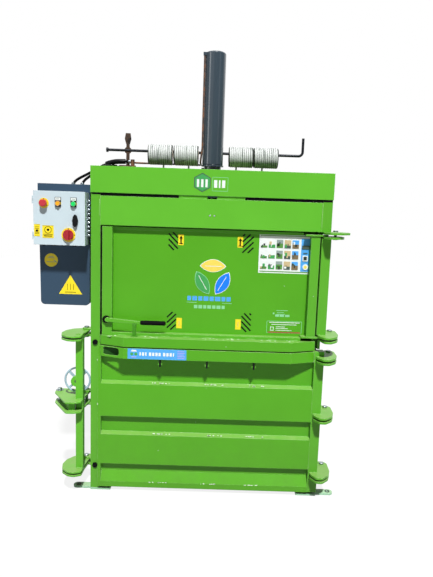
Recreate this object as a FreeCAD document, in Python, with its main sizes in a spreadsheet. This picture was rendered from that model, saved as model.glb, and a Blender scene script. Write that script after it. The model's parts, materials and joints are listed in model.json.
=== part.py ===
import FreeCAD, Part
import math
import os
import re
import Sketcher

# Vertical recycling baler, millimetres, +Z up, front towards -Y.
# The origin lies on the floor, at the centre of the four anchor holes.
# Two swing doors close the chamber: a feed door above, a bale door below.

Vector = FreeCAD.Vector

SIZES = {
    # body and chamber
    "body_width": 1370, "body_depth": 800, "wall_inset": 63, "sheet": 6,
    "door_room": 60, "post_width": 54, "rib_depth": 40, "rib_width": 60,
    "front_rib_width": 120, "right_rib_depth": 22, "rear_room": 60,
    # base and floor
    "anchor_thick": 12, "anchor_reach": 110, "anchor_width": 52, "anchor_inset": 38,
    "anchor_hole": 9, "pad_width": 120, "skid_height": 50, "skid_width": 110,
    "floor_thick": 12, "groove_width": 22, "groove_depth": 7, "groove_pitch": 272,
    # header and head frame
    "header_bottom": 1602, "header_height": 165, "bearer_thick": 17, "head_height": 148,
    "head_depth": 120, "head_overhang": 3, "rail_width": 80, "bearer_inner": 28,
    "bearer_outer": 188, "cross_inner": 90, "cross_width": 44,
    # feed door
    "feed_inset_left": 67, "feed_inset_right": 61, "stile_left": 57, "stile_right": 51,
    "door_proud": 10, "door_gap": 7, "head_gap": 25, "rail_height": 17,
    "panel_setback": 31, "panel_thick": 5, "tube_wall": 4, "notch_width": 83,
    "rail_depth": 8, "strap_thick": 10, "strap_reach": 36,
    # ledges of both doors
    "tier_inset": 57, "tier_return": 144, "tier_proud": 67, "tier_sheet": 5,
    "shelf_height": 55, "ledge_top": 904, "ledge_height": 63,
    "hand_slot_inset": 68, "hand_slot_length": 98, "hand_slot_height": 46,
    "hand_slot_lip": 12, "hand_slot_corner": 15,
    "guide_radius": 3.5, "guide_spread": 9.5, "guide_drop": 36, "guide_proud": 48,
    # bale door
    "bale_bottom": 28, "bale_inset": 45, "bale_proud": 13, "recess_depth": 29,
    "recess_slope": 12, "toe_height": 34, "toe_slope": 60, "low_recess_top": 175, "low_band_top": 360,
    "high_recess_bottom": 473, "top_recess": 230, "flange_thick": 10,
    "bale_stile": 56, "liner_thick": 3,
    # hinges on the right
    "hinge_reach": 48, "hinge_setback": 105, "plate_thick": 12, "plate_gap": 12,
    "pin_radius": 9, "pin_clearance": 0.05, "pin_head": 15, "pin_head_height": 9,
    "hinge_tube": 54, "tube_gap": 9, "plate_front": 88, "plate_back": 33,
    "plate_side": 35, "low_hinge": 158, "mid_hinge": 526, "hinge_drop": 26,
    "corner": 24,
    # lock bar on the left
    "lock_pin_reach": 55, "lock_pin_setback": 138, "lock_tube": 42, "lock_tube_offset": 8,
    "lock_tube_setback": 3, "lock_low": 143, "lock_mid": 574, "lock_rise": 60,
    "hook_reach": 114, "bracket_reach": 184, "lock_plate": 9,
    "lock_gap": 11, "bracket_height": 69, "wheel_radius": 80,
    "wheel_rim": 6, "wheel_offset": 29, "wheel_rise": 93, "wheel_setback": 62,
    "spindle_radius": 10, "boss_radius": 32, "boss_length": 22,
    "buffer_radius": 15, "buffer_thick": 8, "buffer_rise": 15, "buffer_low": 159,
    # cylinder and platen
    "cylinder_x": -8, "barrel_radius": 65, "bore_radius": 55, "neck_rise": 53,
    "barrel_length": 655, "cap_height": 24, "neck_radius": 54, "collar_radius": 69,
    "collar_height": 9, "spigot_height": 22, "flange_size": 178, "flange_height": 20,
    "rod_radius": 35, "piston_height": 50,
    "platen_height": 115, "platen_plate": 15, "platen_gap": 8, "seal_clearance": 0.05,
    # latch
    "latch_inset": 35, "latch_rise": 94, "latch_shaft": 12, "latch_hole": 16.5,
    "latch_bar": 11, "latch_length": 191, "latch_drop": 11, "grip_radius": 13,
    "grip_length": 146, "latch_stand": 24, "rest_offset": 156, "rest_width": 20,
    # power unit and control box
    "cover_gap": 19, "cover_width": 297, "cover_rise": 14, "cover_height": 658,
    "cover_depth": 420, "cover_sheet": 3, "lid_height": 46, "lid_lap": 3,
    "cover_taper": 9, "tank_height": 190, "motor_radius": 82, "motor_height": 250,
    "louvre_pitch": 31, "louvre_count": 8, "louvre_rise": 15, "louvre_proud": 11,
    "box_gap": 3, "box_width": 288, "box_rise": 1, "box_height": 300,
    "box_depth": 110, "box_sheet": 3, "box_door": 14, "button_radius": 14,
    "mushroom_radius": 20, "bezel_radius": 18, "estop_ring": 28, "button_travel": 4,
    "button_drop": 68, "estop_inset": 59, "orange_inset": 138, "green_inset": 63,
    "switch_inset": 92, "switch_rise": 59, "switch_radius": 30, "handle_inset": 53,
    "handle_rise": 139, "handle_half": 37, "shank_radius": 9,
    "lid_knuckle": 5.5, "lid_pin_radius": 3,
    # strap rolls on their rod
    "spool_rod": 8.5, "spool_y": 95, "spool_rise": 139, "spool_overhang": 11,
    "spool_inset": 113, "spool_crank": 112, "roll_bore": 29.3, "roll_core": 61.5,
    "strap_width": 12.6, "strap_pitch": 13.3, "strap_depth": 4, "roll_turns": 11,
    "roll_gap": 0.3, "upright_inset": 128, "upright_width": 42, "upright_thick": 8,
    "stand_thick": 12, "stand_width": 40, "strap_thin": 1.2,
    # hoses
    "hose_radius": 8, "pipe_radius": 6, "ferrule_radius": 12, "ferrule_length": 16,
    "manifold_inset": 85, "manifold_width": 100, "manifold_front": 20,
    "manifold_depth": 50, "manifold_height": 28,
    "elbow_inset": 18, "elbow_height": 38, "pipe_rise": 68, "pipe_room": 81, "pipe_gap": 11,
    "cap_inset": 46,
}

# Places worked out from the sizes, written as expressions.
FRONT = "(-body_depth/2)"
BACK = "(body_depth/2)"
CHAMBER_FRONT = f"({FRONT}+door_room)"
CHAMBER_BACK = f"({BACK}-rear_room)"
SIDE = "(body_width/2)"
WALL_IN = f"({SIDE}-wall_inset)"
WALL_OUT = f"({WALL_IN}+sheet)"
SKID_TOP = "(anchor_thick+skid_height)"
HEADER_TOP = "(header_bottom+header_height)"
HEAD_BOTTOM = f"({HEADER_TOP}+bearer_thick)"
HEAD_TOP = f"({HEAD_BOTTOM}+head_height)"
HINGE_Y = f"({FRONT}+hinge_setback)"
LOCK_Y = f"({FRONT}+lock_pin_setback)"
FEED_FACE = f"({FRONT}-door_proud)"
FEED_BACK = f"({FRONT}+panel_setback)"
BALE_FACE = f"({FRONT}-bale_proud)"
BALE_BACK = f"({BALE_FACE}+recess_depth)"
TIER_FACE = f"({FRONT}-tier_proud)"
COVER_FRONT = CHAMBER_FRONT
BOX_FRONT = f"({COVER_FRONT}-box_depth)"
PIN_HOLE = "(pin_radius+pin_clearance)"
TUBE_LEFT = "(feed_right+tube_gap)"
FEED_STRAP = f"(feed_bottom+rail_height)"
PLATEN_LOW = "(header_bottom+4)"

# Places that many pieces share. Those with an x lie that far left or right of the middle.
PLACES = {
    "chamber_width": f"2*{WALL_IN}",
    "feed_left": f"{SIDE}-feed_inset_left",
    "feed_right": f"{SIDE}-feed_inset_right",
    "tier_end": f"{SIDE}-tier_inset",
    "tier_bend": "tier_end-tier_return",
    "hand_slot_centre": "tier_end-hand_slot_inset",
    "bale_left": f"{SIDE}-bale_inset",
    "hinge_x": f"{SIDE}+hinge_reach",
    "lock_pin_x": f"{SIDE}+lock_pin_reach",
    "lock_tube_x": "lock_pin_x+lock_tube_offset",
    "lock_tip": "lock_tube_x+hook_reach",
    "bracket_tip": "lock_tube_x+bracket_reach",
    "wheel_x": "lock_tube_x+wheel_offset",
    "buffer_x": f"{SIDE}-post_width/2",
    "latch_x": "feed_left-latch_inset",
    "rest_x": "latch_x-rest_offset",
    "cover_right": f"{SIDE}+cover_gap",
    "cover_left": "cover_right+cover_width",
    "box_right": "cover_right+box_gap",
    "box_left": "box_right+box_width",
    "estop_x": "box_left-estop_inset",
    "orange_x": "box_left-orange_inset",
    "green_x": "box_right+green_inset",
    "switch_x": "box_right+switch_inset",
    "handle_x": "box_right+handle_inset",
    "spool_left": f"{SIDE}+spool_overhang",
    "spool_right": f"{SIDE}-spool_inset",
    "upright_x": f"{SIDE}-upright_inset",
    "manifold_left": f"{SIDE}-manifold_inset",
    "manifold_right": "manifold_left-manifold_width",
    "elbow_x": "manifold_right+elbow_inset",
    "feed_bottom": "ledge_top+door_gap+shelf_height",
    "feed_top": "header_bottom-door_gap",
    "feed_hinge_top": "header_bottom-head_gap",
    "high_band_top": "ledge_top-top_recess",
    "top_hinge": "ledge_top-hinge_drop",
    "lock_top": "ledge_top+lock_rise",
    "buffer_high": "ledge_top+buffer_rise",
    "wheel_z": "lock_mid+wheel_rise",
    "latch_z": "feed_bottom+latch_rise",
    "cover_top": f"{HEADER_TOP}+cover_rise",
    "cover_bottom": "cover_top-cover_height",
    "box_top": "cover_top+box_rise",
    "box_bottom": "box_top-box_height",
    "button_z": "box_top-button_drop",
    "switch_z": "box_bottom+switch_rise",
    "handle_z": "box_bottom+handle_rise",
    "louvre_low": "box_bottom+louvre_rise",
    "spool_z": f"{HEAD_TOP}+spool_rise",
    "barrel_low": f"{HEAD_TOP}+neck_rise",
}

doc = FreeCAD.newDocument("baler")
sheet = doc.addObject("Spreadsheet::Sheet", "sizes")
for row, (alias, size) in enumerate(SIZES.items(), start=1):
    sheet.set(f"A{row}", alias)
    sheet.set(f"B{row}", str(size))
    sheet.setAlias(f"B{row}", alias)
probe = doc.addObject("App::FeaturePython", "probe")
probe.addProperty("App::PropertyFloat", "Result")
doc.recompute()

nodes = {}


def scoped(text):
    """Write out each shared place, and point each size's name at the spreadsheet."""
    def point(word):
        if word.group() in PLACES:
            return f"({scoped(PLACES[word.group()])})"
        return "sizes." + word.group() if word.group() in SIZES else word.group()
    return re.sub(r"[a-z][a-z_]+", point, str(text))


def number(text):
    """Work out an expression of sizes as a plain number."""
    probe.setExpression("Result", scoped(text))
    probe.recompute()
    return probe.Result


def node(name, item):
    """Keep an object as a named piece of the machine."""
    item.Label = name
    nodes[name] = item
    return item


def place(item, x, y, z):
    for axis, text in zip("xyz", (x, y, z)):
        item.setExpression(f"Placement.Base.{axis}", scoped(text))


def box(name, x, y, z):
    """A block between low and high expressions on each axis."""
    item = doc.addObject("Part::Box", name)
    for side, (low, high) in zip(("Length", "Width", "Height"), (x, y, z)):
        item.setExpression(side, scoped(f"({high})-({low})"))
    place(item, x[0], y[0], z[0])
    return item


TURNS = {
    "x": FreeCAD.Rotation(Vector(0, 1, 0), 90),
    "y": FreeCAD.Rotation(Vector(1, 0, 0), -90),
    "z": FreeCAD.Rotation(),
}


def rod(name, axis, centre, radius, length):
    """A round bar that starts at centre and runs along +axis."""
    item = doc.addObject("Part::Cylinder", name)
    item.Placement = FreeCAD.Placement(Vector(), TURNS[axis])
    item.setExpression("Radius", scoped(radius))
    item.setExpression("Height", scoped(length))
    place(item, *centre)
    return item


def fuse(name, *parts):
    item = doc.addObject("Part::MultiFuse", name)
    item.Shapes = list(parts)
    item.Refine = True
    return item


def group(name, *parts):
    """Separate solids that share one file."""
    item = doc.addObject("Part::Compound", name)
    item.Links = list(parts)
    return item


def cut(name, base, *tools):
    item = doc.addObject("Part::Cut", name)
    item.Base = base
    item.Tool = tools[0] if len(tools) == 1 else fuse(name + "_tools", *tools)
    return item


PLANES = {"xy": "XY_Plane", "xz": "XZ_Plane", "yz": "YZ_Plane"}


def drawn(body, name, plane, outline, offset, holes=()):
    """A sketch whose corners and circles are held by expressions."""
    base = next(item for item in body.Origin.OriginFeatures if item.Role == PLANES[plane])
    sketch = body.newObject("Sketcher::SketchObject", name)
    sketch.AttachmentSupport = [(base, "")]
    sketch.MapMode = "FlatFace"
    sketch.setExpression(".AttachmentOffset.Base.z", scoped(offset))
    corners = [Vector(number(u), number(v), 0) for u, v in outline]
    lines = [Part.LineSegment(a, b) for a, b in zip(corners, corners[1:] + corners[:1])]
    sketch.addGeometry(lines, False)
    count = len(lines)
    held = []
    for index in range(count):
        following = (index + 1) % count
        sketch.addConstraint(Sketcher.Constraint("Coincident", index, 2, following, 1))
        held.append((index, 1, outline[index]))
    for u, v, radius in holes:
        circle = Part.Circle(Vector(number(u), number(v), 0), Vector(0, 0, 1), number(radius))
        index = sketch.addGeometry(circle, False)
        held.append((index, 3, (u, v)))
        place_size(sketch, ("Radius", index), radius)
    for index, end, (u, v) in held:
        place_size(sketch, ("DistanceX", -1, 1, index, end), u)
        place_size(sketch, ("DistanceY", -1, 1, index, end), v)
    return sketch


def place_size(sketch, what, text):
    """Hold one distance or radius of a sketch by an expression."""
    added = sketch.addConstraint(Sketcher.Constraint(*what, number(text)))
    sketch.setExpression(f"Constraints[{added}]", scoped(text))


def plane_offset(plane, start, length):
    """XZ sketches look along -Y, so their pads start at the far side."""
    return f"-(({start})+({length}))" if plane == "xz" else start


def prism(name, plane, outline, start, length, holes=(), rounded=()):
    """Pad an outline along the plane's normal; rounded lists (corner, radius)."""
    body = doc.addObject("PartDesign::Body", name)
    offset = plane_offset(plane, start, length)
    sketch = drawn(body, name + "_outline", plane, outline, offset, holes)
    pad = body.newObject("PartDesign::Pad", name + "_pad")
    pad.Profile = sketch
    pad.setExpression("Length", scoped(length))
    body.Tip = pad
    doc.recompute()
    for step, (corner, radius) in enumerate(rounded):
        u, v = (number(text) for text in outline[corner])
        before = body.Tip
        edge = edge_at(before.Shape, plane, u, v)
        fillet = body.newObject("PartDesign::Fillet", f"{name}_round{step}")
        fillet.Base = (before, [edge])
        fillet.setExpression("Radius", scoped(radius))
        body.Tip = fillet
        doc.recompute()
    return body


def edge_at(shape, plane, u, v):
    """Name the straight edge that stands on the point (u, v) of a plane."""
    axes = {"xy": (0, 1), "xz": (0, 2), "yz": (1, 2)}[plane]
    for index, edge in enumerate(shape.Edges, start=1):
        ends = [vertex.Point for vertex in edge.Vertexes]
        near = all(abs(end[axes[0]] - u) + abs(end[axes[1]] - v) < 0.01 for end in ends)
        if near and len(ends) == 2:
            return f"Edge{index}"
    raise ValueError("no edge to round")


def turned(name, axis, centre, profile):
    """Revolve a profile of (radius, height) corners about its own axis."""
    body = doc.addObject("PartDesign::Body", name)
    sketch = drawn(body, name + "_profile", "xz", profile, "0")
    turn = body.newObject("PartDesign::Revolution", name + "_turn")
    turn.Profile = sketch
    turn.ReferenceAxis = (sketch, ["V_Axis"])
    turn.Angle = 360
    body.Tip = turn
    body.Placement = FreeCAD.Placement(Vector(), TURNS[axis])
    place(body, *centre)
    return body


def channel(name, x, y, z, open_to, wall="sheet"):
    """A folded trough: a block hollowed out through one face."""
    outer = box(name + "_outer", x, y, z)
    spans = []
    for axis, (low, high) in zip("xyz", (x, y, z)):
        inner_low = f"({low})-1" if open_to == "-" + axis else f"({low})+{wall}"
        inner_high = f"({high})+1" if open_to == "+" + axis else f"({high})-{wall}"
        spans.append((inner_low, inner_high))
    return cut(name, outer, box(name + "_hollow", *spans))


def mirrored(low, high, sign):
    """The same span on the right (+1) or on the left (-1)."""
    return (low, high) if sign > 0 else (f"-({high})", f"-({low})")


def rounded_path(points, bends):
    """Straight runs joined by tangent arcs, with the radius at each inner point."""
    edges = []
    start = points[0]
    for before, corner, after, radius in zip(points, points[1:], points[2:], bends):
        towards = (before - corner).normalize()
        onward = (after - corner).normalize()
        turn = math.pi - towards.getAngle(onward)
        back = radius * math.tan(turn / 2)
        first = corner + towards * back
        last = corner + onward * back
        middle_way = (towards + onward).normalize()
        reach = radius / math.cos(turn / 2) - radius
        edges.append(Part.LineSegment(start, first).toShape())
        edges.append(Part.Arc(first, corner + middle_way * reach, last).toShape())
        start = last
    edges.append(Part.LineSegment(start, points[-1]).toShape())
    return Part.Wire(edges)


def hose_bends(points):
    """Each arc as large as its two runs allow."""
    radii = []
    for before, corner, after in zip(points, points[1:], points[2:]):
        run = min((corner - before).Length, (after - corner).Length)
        turn = math.pi - (before - corner).getAngle(after - corner)
        radii.append(0.45 * run / math.tan(turn / 2))
    return radii


def swept(name, points, bends, radius):
    """A round bar or hose along a path, checked against section times length."""
    path = rounded_path(points, bends)
    start = (points[1] - points[0]).normalize()
    ring = Part.Wire(Part.Circle(points[0], start, radius).toShape())
    shape = path.makePipeShell([ring], True, False)
    item = doc.addObject("Part::Feature", name)
    item.Shape = shape
    share = shape.Volume / (math.pi * radius ** 2 * path.Length)
    print(name, "length", round(path.Length), "radii", [round(bend) for bend in bends],
          "volume share", round(share, 4))
    return item


# ---------------------------------------------------------------- base and frame

def anchor_outline(side, end):
    """Foot plate with a lug that reaches out past the body, on one corner."""
    out = "body_width/2"
    hole_y = "(body_depth/2-anchor_inset)"
    points = [
        (f"{out}-pad_width", "body_depth/2"), (out, "body_depth/2"),
        (out, f"{hole_y}+anchor_width/2"), (f"{out}+anchor_reach", f"{hole_y}+anchor_width/2"),
        (f"{out}+anchor_reach", f"{hole_y}-anchor_width/2"), (out, f"{hole_y}-anchor_width/2"),
        (out, "body_depth/2-100"), (f"{out}-pad_width", "body_depth/2-100"),
    ]
    hole = (f"{out}+anchor_reach-anchor_width/2-4", hole_y, "anchor_hole")
    def turn(u, v):
        return f"{side}*({u})", f"{end}*({v})"
    return [turn(*point) for point in points], (*turn(*hole[:2]), hole[2])


plates = []
for side_name, side in (("left", -1), ("right", 1)):
    for end_name, end in (("front", -1), ("rear", 1)):
        outline, hole = anchor_outline(side, end)
        plates.append(prism(f"anchor_{end_name}_{side_name}", "xy", outline, "0",
                            "anchor_thick", [hole], [(3, "corner"), (4, "corner")]))
node("anchor_plates", group("anchor_set", *plates))

skids = []
for side_name, side in (("left", -1), ("right", 1)):
    span = mirrored(f"{SIDE}-skid_width", SIDE, side)
    skids.append(channel(f"skid_{side_name}", span, (CHAMBER_FRONT, BACK),
                         ("anchor_thick", SKID_TOP), "-z"))
sill_x = (f"-({SIDE}-skid_width)", f"{SIDE}-skid_width")
sills = [
    channel("sill_front", sill_x, (CHAMBER_FRONT, f"{CHAMBER_FRONT}+rib_width"),
            ("anchor_thick", SKID_TOP), "-z"),
    channel("sill_rear", sill_x, (f"{BACK}-rib_width", BACK), ("anchor_thick", SKID_TOP), "-z"),
]
node("base_frame", group("base_set", *skids, *sills))

floor = box("floor_blank", (f"-{WALL_IN}", WALL_IN), (CHAMBER_FRONT, CHAMBER_BACK),
            (SKID_TOP, f"{SKID_TOP}+floor_thick"))
grooves = []
for index in (-1, 0, 1):
    middle = f"{index}*groove_pitch"
    grooves.append(box(f"groove{index + 1}", (f"{middle}-groove_width/2", f"{middle}+groove_width/2"),
                       (f"{CHAMBER_FRONT}-1", f"{CHAMBER_BACK}+1"),
                       (f"{SKID_TOP}+floor_thick-groove_depth", f"{SKID_TOP}+floor_thick+1")))
node("floor_plate", cut("floor_cut", floor, *grooves))

post_x = (f"-{SIDE}", f"-{SIDE}+post_width")
post = channel("post_trough", post_x, (FRONT, f"{FRONT}+door_room"),
               ("anchor_thick", HEAD_BOTTOM), "+y")
keeper = box("keeper_slot", (f"-{SIDE}+post_width-sheet-1", f"-{SIDE}+post_width+1"),
             (f"{FRONT}+18", f"{FRONT}+44"), ("latch_z-60", "latch_z+22"))
node("left_post", cut("post_cut", post, keeper))
node("right_post", channel("short_post", (f"{SIDE}-post_width", SIDE),
                           (FRONT, f"{FRONT}+door_room"), ("header_bottom", HEAD_BOTTOM), "+y"))

header = channel("header_trough", (f"-{SIDE}+post_width", f"{SIDE}-post_width"),
                 (FRONT, f"{FRONT}+door_room"), ("header_bottom", HEADER_TOP), "+y")
sight_holes = [rod(f"sight_hole{index}", "y", (f"{index}*26-10", f"{FRONT}-1",
                                              "header_bottom+72"), "3", "sheet+2")
               for index in range(2)]
node("header_panel", cut("header_cut", header, *sight_holes))


def side_wall(name, side, front_rib):
    """Chamber side sheet with upright and level stiffeners outside."""
    wall_z = (SKID_TOP, HEAD_BOTTOM)
    sheet_x = mirrored(WALL_IN, WALL_OUT, side)
    parts = [box(name + "_sheet", sheet_x, (CHAMBER_FRONT, CHAMBER_BACK), wall_z)]
    front_x = mirrored(WALL_OUT, f"{WALL_OUT}+{front_rib}", side)
    rib_x = mirrored(WALL_OUT, f"{WALL_OUT}+rib_depth", side)
    parts.append(box(name + "_front_rib", front_x,
                     (CHAMBER_FRONT, f"{CHAMBER_FRONT}+front_rib_width"), wall_z))
    middle = f"({CHAMBER_FRONT}+{CHAMBER_BACK})/2+rib_width/2"
    for label, low in (("mid", middle), ("rear", f"{CHAMBER_BACK}-rib_width")):
        parts.append(box(f"{name}_{label}_rib", rib_x, (low, f"{low}+rib_width"), wall_z))
    span_y = (f"{CHAMBER_FRONT}+front_rib_width-1", f"{CHAMBER_BACK}-1")
    step = f"(({HEADER_TOP})-({SKID_TOP})-rib_width)/3"
    for index in range(4):
        low = f"{SKID_TOP}+{index}*{step}"
        parts.append(box(f"{name}_belt{index}", rib_x, span_y, (low, f"{low}+rib_width")))
    return parts


left_parts = side_wall("wall_left", -1, "rib_depth")
for index, level in enumerate(("cover_bottom+70", "cover_top-110")):
    left_parts.append(box(f"unit_bracket{index}", ("-cover_right", f"-{WALL_OUT}-rib_depth+1"),
                          (f"{CHAMBER_FRONT}+30", f"{CHAMBER_FRONT}+front_rib_width"),
                          (level, f"{level}+40")))
node("side_wall_left", fuse("wall_left_weld", *left_parts))
node("side_wall_right", fuse("wall_right_weld", *side_wall("wall_right", 1, "right_rib_depth")))

rear_x = (f"-{WALL_OUT}-rib_depth", f"{WALL_OUT}+rib_depth")
rear_z = (SKID_TOP, HEADER_TOP)
rear = [box("rear_sheet", rear_x, (CHAMBER_BACK, f"{CHAMBER_BACK}+sheet"), rear_z)]
for index in range(5):
    middle = f"{index - 2}*(chamber_width/4)"
    rear.append(box(f"rear_rib{index}", (f"{middle}-rib_width/2", f"{middle}+rib_width/2"),
                    (f"{CHAMBER_BACK}+sheet", BACK), rear_z))
for index in range(3):
    low = f"{SKID_TOP}+{index}*(({HEADER_TOP})-({SKID_TOP})-rib_width)/2"
    rear.append(box(f"rear_belt{index}", rear_x, (f"{CHAMBER_BACK}+sheet", f"{BACK}-12"),
                    (low, f"{low}+rib_width")))
node("rear_wall", fuse("rear_weld", *rear))

buffers = [rod(f"buffer_{level}", "y", ("-buffer_x", f"{FRONT}-buffer_thick", level),
               "buffer_radius", "buffer_thick") for level in ("buffer_high", "buffer_low")]
node("post_buffers", group("buffer_set", *buffers))

# ---------------------------------------------------------------- head frame

beam_x = (f"-{SIDE}-head_overhang", f"{SIDE}+head_overhang")
head_z = (HEAD_BOTTOM, HEAD_TOP)
front_beam_back = f"({FRONT}-4+head_depth)"
rear_beam_front = f"({BACK}-head_depth)"
node("head_beam_front", channel("beam_front", beam_x, (f"{FRONT}-4", front_beam_back), head_z, "+y"))
node("head_beam_rear", channel("beam_rear", beam_x, (rear_beam_front, BACK), head_z, "-y"))
rails = []
for side_name, side in (("left", -1), ("right", 1)):
    span = mirrored(f"{SIDE}+head_overhang-rail_width", f"{SIDE}+head_overhang", side)
    rails.append(channel(f"rail_{side_name}", span, (front_beam_back, rear_beam_front), head_z,
                         "+x" if side < 0 else "-x"))
node("head_rails", group("rail_set", *rails))

bearers = []
for side_name, side in (("left", -1), ("right", 1)):
    plate = box(f"bearer_plate_{side_name}", mirrored("bearer_inner", "bearer_outer", side),
                (f"{FRONT}+2", f"{BACK}-2"), (HEADER_TOP, HEAD_BOTTOM))
    bore = rod(f"bearer_bore_{side_name}", "z", ("cylinder_x", "0", f"{HEADER_TOP}-1"),
               "rod_radius+9", "bearer_thick+2")
    bearers.append(cut(f"bearer_{side_name}", plate, bore))
    span = mirrored("cross_inner", "cross_inner+cross_width", side)
    bearers.append(channel(f"cross_beam_{side_name}", span, (front_beam_back, rear_beam_front),
                           head_z, "+x" if side < 0 else "-x"))
node("cylinder_beams", group("bearer_set", *bearers))

# ---------------------------------------------------------------- cylinder and platen

BARREL_TOP = "(barrel_low+barrel_length)"


def on_cylinder(z):
    """A place on the cylinder's own axis."""
    return ("cylinder_x", "0", z)


barrel_tube = cut("barrel_tube",
                  turned("barrel_outer", "z", on_cylinder("barrel_low"),
                         [("0", "0"), ("barrel_radius-3", "0"), ("barrel_radius", "5"),
                          ("barrel_radius", "barrel_length"), ("0", "barrel_length")]),
                  rod("barrel_bore", "z", on_cylinder("barrel_low-1"), "bore_radius",
                      "barrel_length+2"))
node("cylinder_barrel", barrel_tube)
riser_x = "cylinder_x-66"
riser_y = "-29"
node("cylinder_cap", fuse("cap_weld",
     turned("cap_turned", "z", on_cylinder(BARREL_TOP),
            [("0", "-18"), ("bore_radius-0.1", "-18"), ("bore_radius-0.1", "0"),
             ("barrel_radius", "0"), ("barrel_radius", "cap_height-10"),
             ("barrel_radius-3", "cap_height-4"), ("barrel_radius-10", "cap_height"),
             ("0", "cap_height")]),
     box("cap_port", (f"{riser_x}-9", f"{riser_x}+25"), (f"{riser_y}-9", f"{riser_y}+20"),
         (BARREL_TOP, f"{BARREL_TOP}+cap_height-6"))))
gland_flange = cut("gland_flange",
    box("flange_plate", ("-flange_size/2", "flange_size/2"), ("-flange_size/2", "flange_size/2"),
        (HEAD_BOTTOM, f"{HEAD_BOTTOM}+flange_height")),
    *[rod(f"flange_hole{index}", "z",
          (f"{side_x}*(flange_size/2-18)", f"{side_y}*(flange_size/2-18)",
           f"{HEAD_BOTTOM}-1"), "7", "flange_height+2")
      for index, (side_x, side_y) in enumerate(((-1, -1), (1, -1), (1, 1), (-1, 1)))])
neck_height = f"(barrel_low-{HEAD_BOTTOM})"
neck = turned("gland_neck", "z", on_cylinder(HEAD_BOTTOM),
              [("0", "0"), ("neck_radius", "0"), ("neck_radius", f"{neck_height}-collar_height"),
               ("collar_radius", f"{neck_height}-collar_height"), ("collar_radius", neck_height),
               ("bore_radius-0.1", neck_height), ("bore_radius-0.1", f"{neck_height}+spigot_height"),
               ("0", f"{neck_height}+spigot_height")])
neck_port = box("neck_port", ("cylinder_x-70", "cylinder_x-25"),
                ("manifold_front+manifold_depth/2-13", "manifold_front+manifold_depth/2+13"),
                (f"{HEAD_TOP}+stand_thick-3", f"{HEAD_TOP}+stand_thick+manifold_height"))
node("cylinder_gland", cut("gland_cut", fuse("gland_weld", gland_flange, neck, neck_port),
     rod("gland_bore", "z", on_cylinder(f"{HEAD_BOTTOM}-1"), "rod_radius+seal_clearance",
         f"{neck_height}+spigot_height+2")))
PISTON_LOW = f"({BARREL_TOP}-18-1-piston_height)"
node("piston", turned("piston_turned", "z", on_cylinder(PISTON_LOW),
     [("0", "0"), ("bore_radius-seal_clearance", "0"), ("bore_radius-seal_clearance", "18"),
      ("bore_radius-4", "18"), ("bore_radius-4", "30"), ("bore_radius-seal_clearance", "30"),
      ("bore_radius-seal_clearance", "piston_height"), ("0", "piston_height")]))
PLATEN_TOP = f"({PLATEN_LOW}+platen_height)"
node("piston_rod", rod("rod_bar", "z", on_cylinder(f"{PLATEN_LOW}+platen_plate"), "rod_radius",
                       f"{PISTON_LOW}-({PLATEN_LOW}+platen_plate)"))

platen_x = (f"-{WALL_IN}+platen_gap", f"{WALL_IN}-platen_gap")
platen_y = (f"{CHAMBER_FRONT}+platen_gap+2", f"{CHAMBER_BACK}-platen_gap")
platen = [box("press_plate", platen_x, platen_y, (PLATEN_LOW, f"{PLATEN_LOW}+platen_plate"))]
for index in range(3):
    middle = f"(({platen_y[0]})+({platen_y[1]}))/2+{index - 1}*230"
    platen.append(box(f"press_rib{index}", (f"{platen_x[0]}+30", f"{platen_x[1]}-30"),
                      (f"{middle}-6", f"{middle}+6"), (f"{PLATEN_LOW}+platen_plate", PLATEN_TOP)))
for index in (-1, 1):
    middle = f"{index}*({WALL_IN}-140)"
    platen.append(box(f"press_web{index + 1}", (f"{middle}-6", f"{middle}+6"),
                      (f"{platen_y[0]}+20", f"{platen_y[1]}-20"),
                      (f"{PLATEN_LOW}+platen_plate", f"{PLATEN_TOP}-20")))
platen.append(rod("rod_boss", "z", on_cylinder(f"{PLATEN_LOW}+platen_plate"), "rod_radius+22",
                  "platen_height-platen_plate-10"))
rod_seat = rod("rod_seat", "z", on_cylinder(f"{PLATEN_LOW}+platen_plate"), "rod_radius",
               "platen_height")
node("platen", cut("platen_cut", fuse("platen_weld", *platen), rod_seat))

# ---------------------------------------------------------------- hinge plates

def hinge_plate(name, top, inner, holes=True):
    """Plate round the hinge pin; inner lists the corners beside the door tube."""
    pin = ("hinge_x", HINGE_Y)
    outer = [
        ("hinge_x-65", f"{FRONT}-plate_front"), ("hinge_x-28", f"{FRONT}-plate_front"),
        ("hinge_x+14", f"{FRONT}-45"), ("hinge_x+plate_side-3", f"{FRONT}+10"),
        ("hinge_x+plate_side", f"{HINGE_Y}+5"), ("hinge_x+15", f"{HINGE_Y}+plate_back"),
    ]
    outline = outer + inner
    bores = [(*pin, PIN_HOLE)] if holes else []
    rounds = [(0, "corner"), (1, "corner"), (2, "corner*2"), (3, "corner*2"), (4, "corner/2"),
              (5, "corner/2")]
    return prism(name, "xy", outline, f"({top})-plate_thick", "plate_thick", bores, rounds)


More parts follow.
